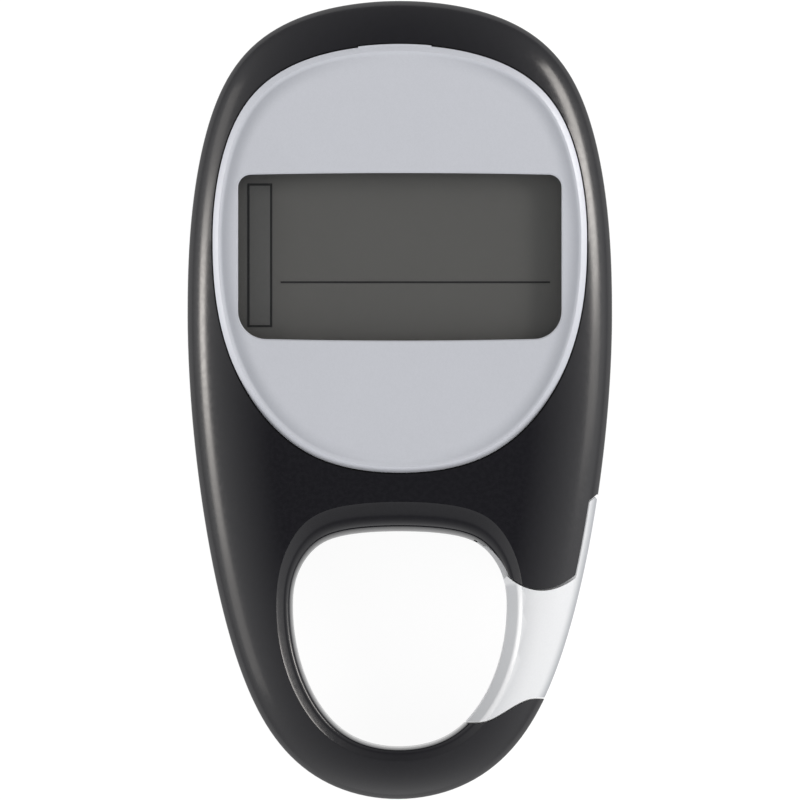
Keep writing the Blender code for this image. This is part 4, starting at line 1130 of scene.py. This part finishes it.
def added(tree, kind, inputs=None, **settings):
    """A new node with its settings, and with a value or a link for each named input."""
    node = tree.nodes.new(kind)
    for label, value in settings.items():
        setattr(node, label, value)
    for label, value in (inputs or {}).items():
        if isinstance(value, bpy.types.NodeSocket):
            tree.links.new(value, node.inputs[label])
        else:
            node.inputs[label].default_value = value
    return node


def new_effect(name, scale, drift_scale):
    """An empty effect group: its own inputs, its results and the places on the object."""
    group = bpy.data.node_groups.new(name, "ShaderNodeTree")
    for label, value in (("Scale", scale), ("Drift Scale", drift_scale)):
        socket = group.interface.new_socket(label, in_out="INPUT", socket_type="NodeSocketFloat")
        socket.default_value = value
    for label in ("Height", "Grain", "Drift"):
        group.interface.new_socket(label, in_out="OUTPUT", socket_type="NodeSocketFloat")
    start = group.nodes.new("NodeGroupInput")
    place = group.nodes.new("ShaderNodeTexCoord")
    return group, start.outputs, place.outputs["Object"]


def closed(group, height, grain, slow):
    """The group with its results linked, the drift among them made of some slow noise."""
    drift = ranged(group, slow, *NOISE_RANGE)
    added(group, "NodeGroupOutput", {"Height": height, "Grain": grain, "Drift": drift})
    return group


def ranged(tree, value, low, high, new_low=0.0, new_high=1.0):
    """A value moved smoothly from one range to another."""
    return added(tree, "ShaderNodeMapRange", {
        "Value": value, "From Min": low, "From Max": high, "To Min": new_low, "To Max": new_high,
    }, interpolation_type="SMOOTHSTEP").outputs["Result"]


def sum_of(tree, operation, *values):
    """Values and numbers put together, one after the other, by one kind of sum."""
    result = values[0]
    for value in values[1:]:
        result = added(tree, "ShaderNodeMath", {0: result, 1: value}, operation=operation).outputs[0]
    return result


def noise_in(tree, place, scale, detail=2.0):
    """Noise at a scale that a socket gives."""
    noise = added(tree, "ShaderNodeTexNoise", {"Vector": place, "Scale": scale, "Detail": detail})
    return noise.outputs["Fac"]


def mixed(tree, factor, first, second, blend="MIX"):
    """Two colours mixed by a factor."""
    inputs = {"Factor": factor, "A": first, "B": second}
    return added(tree, "ShaderNodeMix", inputs, data_type="RGBA", blend_type=blend).outputs["Result"]


def moulded_grain():
    """Fine unevenness of moulded plastic, and slow drift over the surface."""
    group, start, place = new_effect("moulded_grain", scale=2500.0, drift_scale=60.0)
    fine = noise_in(group, place, start["Scale"], detail=3.0)
    slow = noise_in(group, place, start["Drift Scale"])
    height = sum_of(group, "ADD", fine, sum_of(group, "MULTIPLY", slow, SLOW_RIPPLE))
    return closed(group, height, ranged(group, fine, *FINE_RANGE), slow)


def paint_flake():
    """Small flakes in metallic paint: each has its own shade, over a slow drift."""
    group, start, place = new_effect("paint_flake", scale=9000.0, drift_scale=40.0)
    cells = added(group, "ShaderNodeTexVoronoi", {"Vector": place, "Scale": start["Scale"]}, feature="F1")
    split = added(group, "ShaderNodeSeparateColor", {"Color": cells.outputs["Color"]})
    slow = noise_in(group, place, start["Drift Scale"], detail=3.0)
    return closed(group, split.outputs["Red"], split.outputs["Green"], slow)


def brushed_lines():
    """Fine lines along one way, as on rolled or drawn metal."""
    group, start, place = new_effect("brushed_lines", scale=900.0, drift_scale=120.0)
    drawn = added(group, "ShaderNodeMapping", {"Vector": place, "Scale": BRUSHED_STRETCH})
    lines = noise_in(group, drawn.outputs["Vector"], start["Scale"], detail=4.0)
    slow = noise_in(group, place, start["Drift Scale"])
    return closed(group, lines, ranged(group, lines, *NOISE_RANGE), slow)


def board_tracks():
    """Copper tracks under green lacquer."""
    group, start, place = new_effect("board_tracks", scale=420.0, drift_scale=90.0)
    bricks = added(group, "ShaderNodeTexBrick", {
        "Color1": WHITE, "Color2": (0.8, 0.8, 0.8, 1), "Mortar": (0, 0, 0, 1), "Mortar Size": 0.03,
        "Vector": place, "Scale": start["Scale"],
    })
    slow = noise_in(group, place, start["Drift Scale"])
    return closed(group, bricks.outputs["Fac"], bricks.outputs["Fac"], slow)


def finish(name, effect, base, shift, rough, metallic=0.0, scale=None, bump_mm=0.0, **plain):
    """A finish: its shade drifts by a share, its roughness and bump follow an effect's grain."""
    material = bpy.data.materials.new(name)
    material.use_nodes = True
    tree = material.node_tree
    shader = tree.nodes["Principled BSDF"].inputs
    shader["Metallic"].default_value = metallic
    for label, value in plain.items():
        shader[label.replace("_", " ")].default_value = value
    effect_node = added(tree, "ShaderNodeGroup", node_tree=effect)
    if scale is not None:
        effect_node.inputs["Scale"].default_value = scale
    height, grain, drift = effect_node.outputs
    blend = sum_of(tree, "MULTIPLY", sum_of(tree, "ADD", grain, drift), 0.5)
    dark = (*[part * (1 - shift) for part in base], 1)
    light = (*[min(part * (1 + shift), 1) for part in base], 1)
    tree.links.new(mixed(tree, blend, dark, light), shader["Base Color"])
    tree.links.new(ranged(tree, grain, 0, 1, *rough), shader["Roughness"])
    if bump_mm:
        bump = added(tree, "ShaderNodeBump", {"Distance": bump_mm * MM, "Height": height})
        tree.links.new(bump.outputs["Normal"], shader["Normal"])
    FINISHES[name] = material


def add_painted_shade(material, amount):
    """Darken the colour by painted shade where the piece's own attribute marks a groove or an edge."""
    tree = material.node_tree
    target = tree.nodes["Principled BSDF"].inputs["Base Color"]
    paint = target.links[0].from_socket
    mark = added(tree, "ShaderNodeAttribute", attribute_name="painted_shade")
    factor = sum_of(tree, "MULTIPLY", mark.outputs["Fac"], amount)
    tree.links.new(mixed(tree, factor, paint, PAINTED_SHADE_GREY, "MULTIPLY"), target)


def build_finishes(colours):
    """Every finish of the object, by the name of its slot."""
    grain, flake, lines, tracks = moulded_grain(), paint_flake(), brushed_lines(), board_tracks()
    finish("gloss_black", grain, colours.gloss_black, shift=0.12, rough=(0.15, 0.19), bump_mm=0.0003,
           Specular_IOR_Level=0.62)
    finish("satin_silver", flake, colours.satin_silver, shift=0.03, rough=(0.38, 0.46), metallic=0.2,
           bump_mm=0.0002)
    finish("bright_silver", flake, colours.bright_silver, shift=0.02, rough=(0.28, 0.34), metallic=0.1,
           bump_mm=0.0001)
    # Painted shade: the plate's groove, and the gate's outer edge, the band past its lip and its slope
    add_painted_shade(FINISHES["satin_silver"], amount=0.34)
    add_painted_shade(FINISHES["bright_silver"], amount=0.68)
    finish("clear_lens", grain, (0.02, 0.022, 0.024), shift=0.1, rough=(0.03, 0.06), Alpha=0.1)
    finish("lcd_grey", grain, colours.lcd_grey, shift=0.03, rough=(0.3, 0.4), scale=4000.0)
    finish("print_black", grain, colours.print_black, shift=0.1, rough=(0.4, 0.5))
    # A touch lighter than the display grey: painted light against the window edge's shadow, over a slightly
    # bluer tint
    finish("column_film", grain, (0.137, 0.138, 0.136), shift=0.05, rough=(0.3, 0.4), scale=4000.0)
    finish("frame_black", grain, (0.02, 0.02, 0.021), shift=0.15, rough=(0.45, 0.6), bump_mm=0.004)
    finish("rubber_grey", grain, (0.22, 0.22, 0.23), shift=0.1, rough=(0.65, 0.8), bump_mm=0.006)
    finish("board_green", tracks, (0.02, 0.11, 0.045), shift=0.35, rough=(0.3, 0.45), bump_mm=0.02)
    finish("resin_black", grain, (0.015, 0.015, 0.016), shift=0.15, rough=(0.25, 0.4), bump_mm=0.004)
    finish("ceramic_tan", grain, (0.36, 0.24, 0.14), shift=0.12, rough=(0.5, 0.65), bump_mm=0.003)
    finish("bright_steel", lines, (0.58, 0.58, 0.57), shift=0.08, rough=(0.2, 0.34), metallic=1.0,
           bump_mm=0.002)
    finish("cell_can", lines, (0.62, 0.62, 0.61), shift=0.05, rough=(0.24, 0.36), metallic=1.0,
           scale=500.0, bump_mm=0.002)


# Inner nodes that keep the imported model's shape, and their finishes
CARRIED_OVER = {
    "lcd_holder": "frame_black", "zebra_strip": "rubber_grey", "circuit_board": "board_green",
    "controller_blob": "resin_black", "step_sensor": "resin_black", "crystal_can": "bright_steel",
    "capacitor_1": "ceramic_tan", "capacitor_2": "ceramic_tan", "resistor_1": "resin_black",
    "resistor_2": "resin_black", "mode_dome": "bright_steel", "set_dome": "bright_steel",
    "reset_dome": "bright_steel", "battery_cell": "cell_can", "battery_contact_positive": "bright_steel",
    "battery_contact_negative": "bright_steel", "gate_pin": "bright_steel", "gate_spring": "bright_steel",
}


def carried(node):
    """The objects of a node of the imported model."""
    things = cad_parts[node]
    return things if isinstance(things, (list, tuple)) else [things]


class PEDOMETER_OT_finishes(bpy.types.Operator):
    """Make the finishes and give them to the inner pieces that keep their shape"""
    bl_idname = "pedometer.finishes"
    bl_label = "Finishes"

    def execute(self, context):
        build_finishes(context.scene.pedometer_colours)
        for node, name in CARRIED_OVER.items():
            for thing in carried(node):
                thing.data.materials.clear()
                thing.data.materials.append(FINISHES[name])
        return {"FINISHED"}


class PEDOMETER_OT_front_case(bpy.types.Operator):
    """Build the crowned front half of the case"""
    bl_idname = "pedometer.front_case"
    bl_label = "Front case"

    def execute(self, context):
        scene = context.scene
        shell = build_front_case(scene.pedometer_case, scene.pedometer_loop, scene.pedometer_panel)
        finished(shell, "case", "gloss_black", "front_shell")
        return {"FINISHED"}


class PEDOMETER_OT_rear_case(bpy.types.Operator):
    """Build the rear half of the case"""
    bl_idname = "pedometer.rear_case"
    bl_label = "Rear case"

    def execute(self, context):
        shell = build_rear_case(context.scene.pedometer_case, context.scene.pedometer_loop)
        finished(shell, "case", "gloss_black", "rear_shell")
        return {"FINISHED"}


class PEDOMETER_OT_gate(bpy.types.Operator):
    """Build the silver gate of the loop"""
    bl_idname = "pedometer.gate"
    bl_label = "Gate"

    def execute(self, context):
        bar = build_gate_bar(context.scene.pedometer_case, context.scene.pedometer_loop)
        finished(bar, "gate", "bright_silver", "gate")
        return {"FINISHED"}


class PEDOMETER_OT_face_panel(bpy.types.Operator):
    """Build the silver face plate"""
    bl_idname = "pedometer.face_panel"
    bl_label = "Face plate"

    def execute(self, context):
        plate = build_face_panel(context.scene.pedometer_panel)
        finished(plate, "case", "satin_silver", "faceplate")
        return {"FINISHED"}


class PEDOMETER_OT_display(bpy.types.Operator):
    """Build the window, the blank display and its printed lines"""
    bl_idname = "pedometer.display"
    bl_label = "Display"

    def execute(self, context):
        finished(build_window_lens(), "case", "clear_lens", "display_lens")
        finished(build_display_glass(), "case", "lcd_grey", "lcd_panel")
        finished(build_display_print(), "case", "print_black")
        finished(build_bar_film(), "case", "column_film")
        return {"FINISHED"}


class PEDOMETER_OT_battery_cover(bpy.types.Operator):
    """Build the battery cover"""
    bl_idname = "pedometer.battery_cover"
    bl_label = "Battery cover"

    def execute(self, context):
        finished(build_cover_disc(), "case", "gloss_black", "battery_cover")
        return {"FINISHED"}


class PEDOMETER_OT_buttons(bpy.types.Operator):
    """Build the three buttons at the back"""
    bl_idname = "pedometer.buttons"
    bl_label = "Buttons"

    def execute(self, context):
        for node in BUTTONS:
            finished(build_button_cap(node), node, "gloss_black", node)
        return {"FINISHED"}


class PEDOMETER_OT_screws(bpy.types.Operator):
    """Build the case screws and the cover's screw"""
    bl_idname = "pedometer.screws"
    bl_label = "Screws"

    def execute(self, context):
        first = build_screw("long_screw_1", CASE_SCREWS[0])
        home = middle(CASE_SCREWS[0])
        copies = [first]
        for index, node in enumerate(CASE_SCREWS[1:], start=2):
            only(first)
            bpy.ops.object.duplicate()
            copy = bpy.context.object
            copy.name = "long_screw_%d" % index
            spot = middle(node)
            copy.location = (spot[0] - home[0], spot[1] - home[1], 0)
            bpy.ops.object.transform_apply(location=True, rotation=False, scale=False)
            copies.append(copy)
        for copy, node in zip(copies, CASE_SCREWS):
            finished(copy, "case", "bright_steel", node)
        short = build_screw("short_screw", "battery_cover_screw")
        finished(short, "case", "bright_steel", "battery_cover_screw")
        return {"FINISHED"}


def background_light(tree, plain, white):
    """A mix that shows white to the camera, gloss and glass, and the plain shader to other rays."""
    rays = added(tree, "ShaderNodeLightPath").outputs
    seen = sum_of(
        tree, "MAXIMUM", rays["Is Camera Ray"], rays["Is Glossy Ray"], rays["Is Transmission Ray"],
    )
    return added(tree, "ShaderNodeMixShader", {0: seen, 1: plain, 2: white}).outputs[0]


def build_floor():
    """A plain pale floor that looks white and keeps the object's shadow."""
    deselect()
    bpy.ops.mesh.primitive_plane_add(size=FLOOR_SIZE, location=(0, 0, -FLOOR_DROP))
    floor = bpy.context.object
    floor.name = "floor"
    material = bpy.data.materials.new("floor_paper")
    material.use_nodes = True
    tree = material.node_tree
    shader = tree.nodes["Principled BSDF"]
    shader.inputs["Base Color"].default_value = FLOOR_LIGHT
    shader.inputs["Roughness"].default_value = FLOOR_ROUGH
    shader.inputs["Specular IOR Level"].default_value = 0.0
    paper = added(tree, "ShaderNodeBsdfDiffuse", {"Color": FLOOR_PAPER})
    glow = added(tree, "ShaderNodeEmission", {"Strength": FLOOR_GLOW})
    both = added(tree, "ShaderNodeAddShader", {0: paper.outputs[0], 1: glow.outputs[0]})
    result = background_light(tree, shader.outputs[0], both.outputs[0])
    tree.links.new(result, tree.nodes["Material Output"].inputs["Surface"])
    floor.data.materials.append(material)


def build_world(stage):
    """A dim room, lighter at its sides and near the horizon, and white to the camera."""
    world = bpy.data.worlds.new("studio")
    bpy.context.scene.world = world
    world.use_nodes = True
    tree = world.node_tree
    place = added(tree, "ShaderNodeTexCoord").outputs["Generated"]
    across, along, up = added(tree, "ShaderNodeSeparateXYZ", {"Vector": place}).outputs
    near = sum_of(tree, "MINIMUM", along, 0.0)
    far = sum_of(tree, "MAXIMUM", along, 0.0)

    curved = sum_of(tree, "MULTIPLY", across, across, stage.sky_sides)
    slant = sum_of(tree, "MULTIPLY", sum_of(tree, "ABSOLUTE", across, 0.0), stage.sky_slant)
    ahead = sum_of(
        tree, "SUBTRACT", sum_of(tree, "ADD", near, 1.0), sum_of(tree, "MULTIPLY", far, SIDE_SKY_FADE),
    )
    lifted = ranged(tree, up, *SIDE_SKY_LIFT)
    sides = sum_of(tree, "MULTIPLY", sum_of(tree, "ADD", curved, slant), lifted, ahead)

    horizon = sum_of(tree, "POWER", sum_of(tree, "ABSOLUTE", near, 0.0), LOW_SKY_POWER)
    ends = sum_of(
        tree, "ADD", sum_of(tree, "MULTIPLY", near, -stage.sky_near),
        sum_of(tree, "MULTIPLY", horizon, stage.sky_low), sum_of(tree, "MULTIPLY", far, stage.sky_far),
    )

    room = tree.nodes["Background"]
    room.inputs["Color"].default_value = WHITE
    tree.links.new(sum_of(tree, "ADD", sides, ends, stage.sky_high), room.inputs["Strength"])
    white = added(tree, "ShaderNodeBackground", {"Color": WHITE})
    rays = added(tree, "ShaderNodeLightPath")
    mix = added(tree, "ShaderNodeMixShader", {
        0: rays.outputs["Is Camera Ray"], 1: room.outputs[0], 2: white.outputs[0],
    })
    tree.links.new(mix.outputs[0], tree.nodes["World Output"].inputs["Surface"])


def lamp(name, azimuth, elevation, distance, spread, height, radiance, tint):
    """A soft rectangular lamp that faces the object from a direction given in degrees."""
    width = 2 * distance * math.tan(math.radians(spread))
    turn, rise = math.radians(azimuth), math.radians(elevation)
    back = (math.cos(turn) * math.cos(rise), math.sin(turn) * math.cos(rise), math.sin(rise))
    deselect()
    bpy.ops.object.light_add(type="AREA", location=[distance * part for part in back])
    thing = bpy.context.object
    thing.name = name
    thing.rotation_euler = (math.radians(90) - rise, 0, turn + math.radians(90))
    thing.data.shape = "RECTANGLE"
    thing.data.size = width
    thing.data.size_y = height
    thing.data.energy = radiance * width * height * math.pi
    thing.data.color = tint
    thing.visible_camera = False


class PEDOMETER_OT_stage(bpy.types.Operator):
    """Make the floor, the room, the lamps and the camera"""
    bl_idname = "pedometer.stage"
    bl_label = "Stage"

    def execute(self, context):
        stage = context.scene.pedometer_stage
        build_floor()
        build_world(stage)
        for name, lamps, rise, key, tint in (
            ("left_key", LEFT_LAMPS, LEFT_RISE, stage.left_key, LEFT_TINT),
            ("right_key", RIGHT_LAMPS, RIGHT_RISE, stage.right_key, RIGHT_TINT),
        ):
            for index, (azimuth, spread, height, part) in enumerate(lamps):
                distance = LAMP_DISTANCE + index * LAMP_SPACING
                lamp("%s_%d" % (name, index), azimuth, rise, distance, spread, height, key * part, tint)
        reach = stage.frame_height * stage.lens_mm / CAMERA_SENSOR
        bpy.ops.object.camera_add(location=(stage.shift_right, 0, MIDDLE + reach), rotation=(0, 0, 0))
        camera = bpy.context.object
        camera.data.lens = stage.lens_mm
        camera.data.sensor_width = CAMERA_SENSOR
        camera.data.clip_end = CAMERA_CLIP_END
        context.scene.camera = camera
        context.scene.view_settings.view_transform = "Standard"
        return {"FINISHED"}


class PEDOMETER_PT_build(bpy.types.Panel):
    """Lists the steps that build the pedometer"""
    bl_idname = "PEDOMETER_PT_build"
    bl_label = "Pedometer"
    bl_space_type = "VIEW_3D"
    bl_region_type = "UI"
    bl_category = "Pedometer"

    def draw(self, context):
        for operator in OPERATORS:
            self.layout.operator(operator.bl_idname)


OPERATORS = [
    PEDOMETER_OT_finishes, PEDOMETER_OT_front_case, PEDOMETER_OT_rear_case, PEDOMETER_OT_gate,
    PEDOMETER_OT_face_panel, PEDOMETER_OT_display, PEDOMETER_OT_battery_cover, PEDOMETER_OT_buttons,
    PEDOMETER_OT_screws, PEDOMETER_OT_stage,
]
GROUPS = {
    "pedometer_case": CaseSizes, "pedometer_loop": LoopSizes, "pedometer_panel": PanelSizes,
    "pedometer_colours": FinishColours, "pedometer_stage": StageSettings,
}


def register():
    """Register the property groups, the operators and the panel."""
    for name, group in GROUPS.items():
        bpy.utils.register_class(group)
        setattr(bpy.types.Scene, name, PointerProperty(type=group))
    for operator in OPERATORS:
        bpy.utils.register_class(operator)
    bpy.utils.register_class(PEDOMETER_PT_build)


def unregister():
    """Take everything that register added away again."""
    bpy.utils.unregister_class(PEDOMETER_PT_build)
    for operator in reversed(OPERATORS):
        bpy.utils.unregister_class(operator)
    for name, group in GROUPS.items():
        delattr(bpy.types.Scene, name)
        bpy.utils.unregister_class(group)


def main():
    """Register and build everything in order."""
    register()
    bpy.ops.pedometer.finishes()
    bpy.ops.pedometer.front_case()
    bpy.ops.pedometer.rear_case()
    bpy.ops.pedometer.gate()
    bpy.ops.pedometer.face_panel()
    bpy.ops.pedometer.display()
    bpy.ops.pedometer.battery_cover()
    bpy.ops.pedometer.buttons()
    bpy.ops.pedometer.screws()
    bpy.ops.pedometer.stage()


if __name__ == "__main__":
    main()
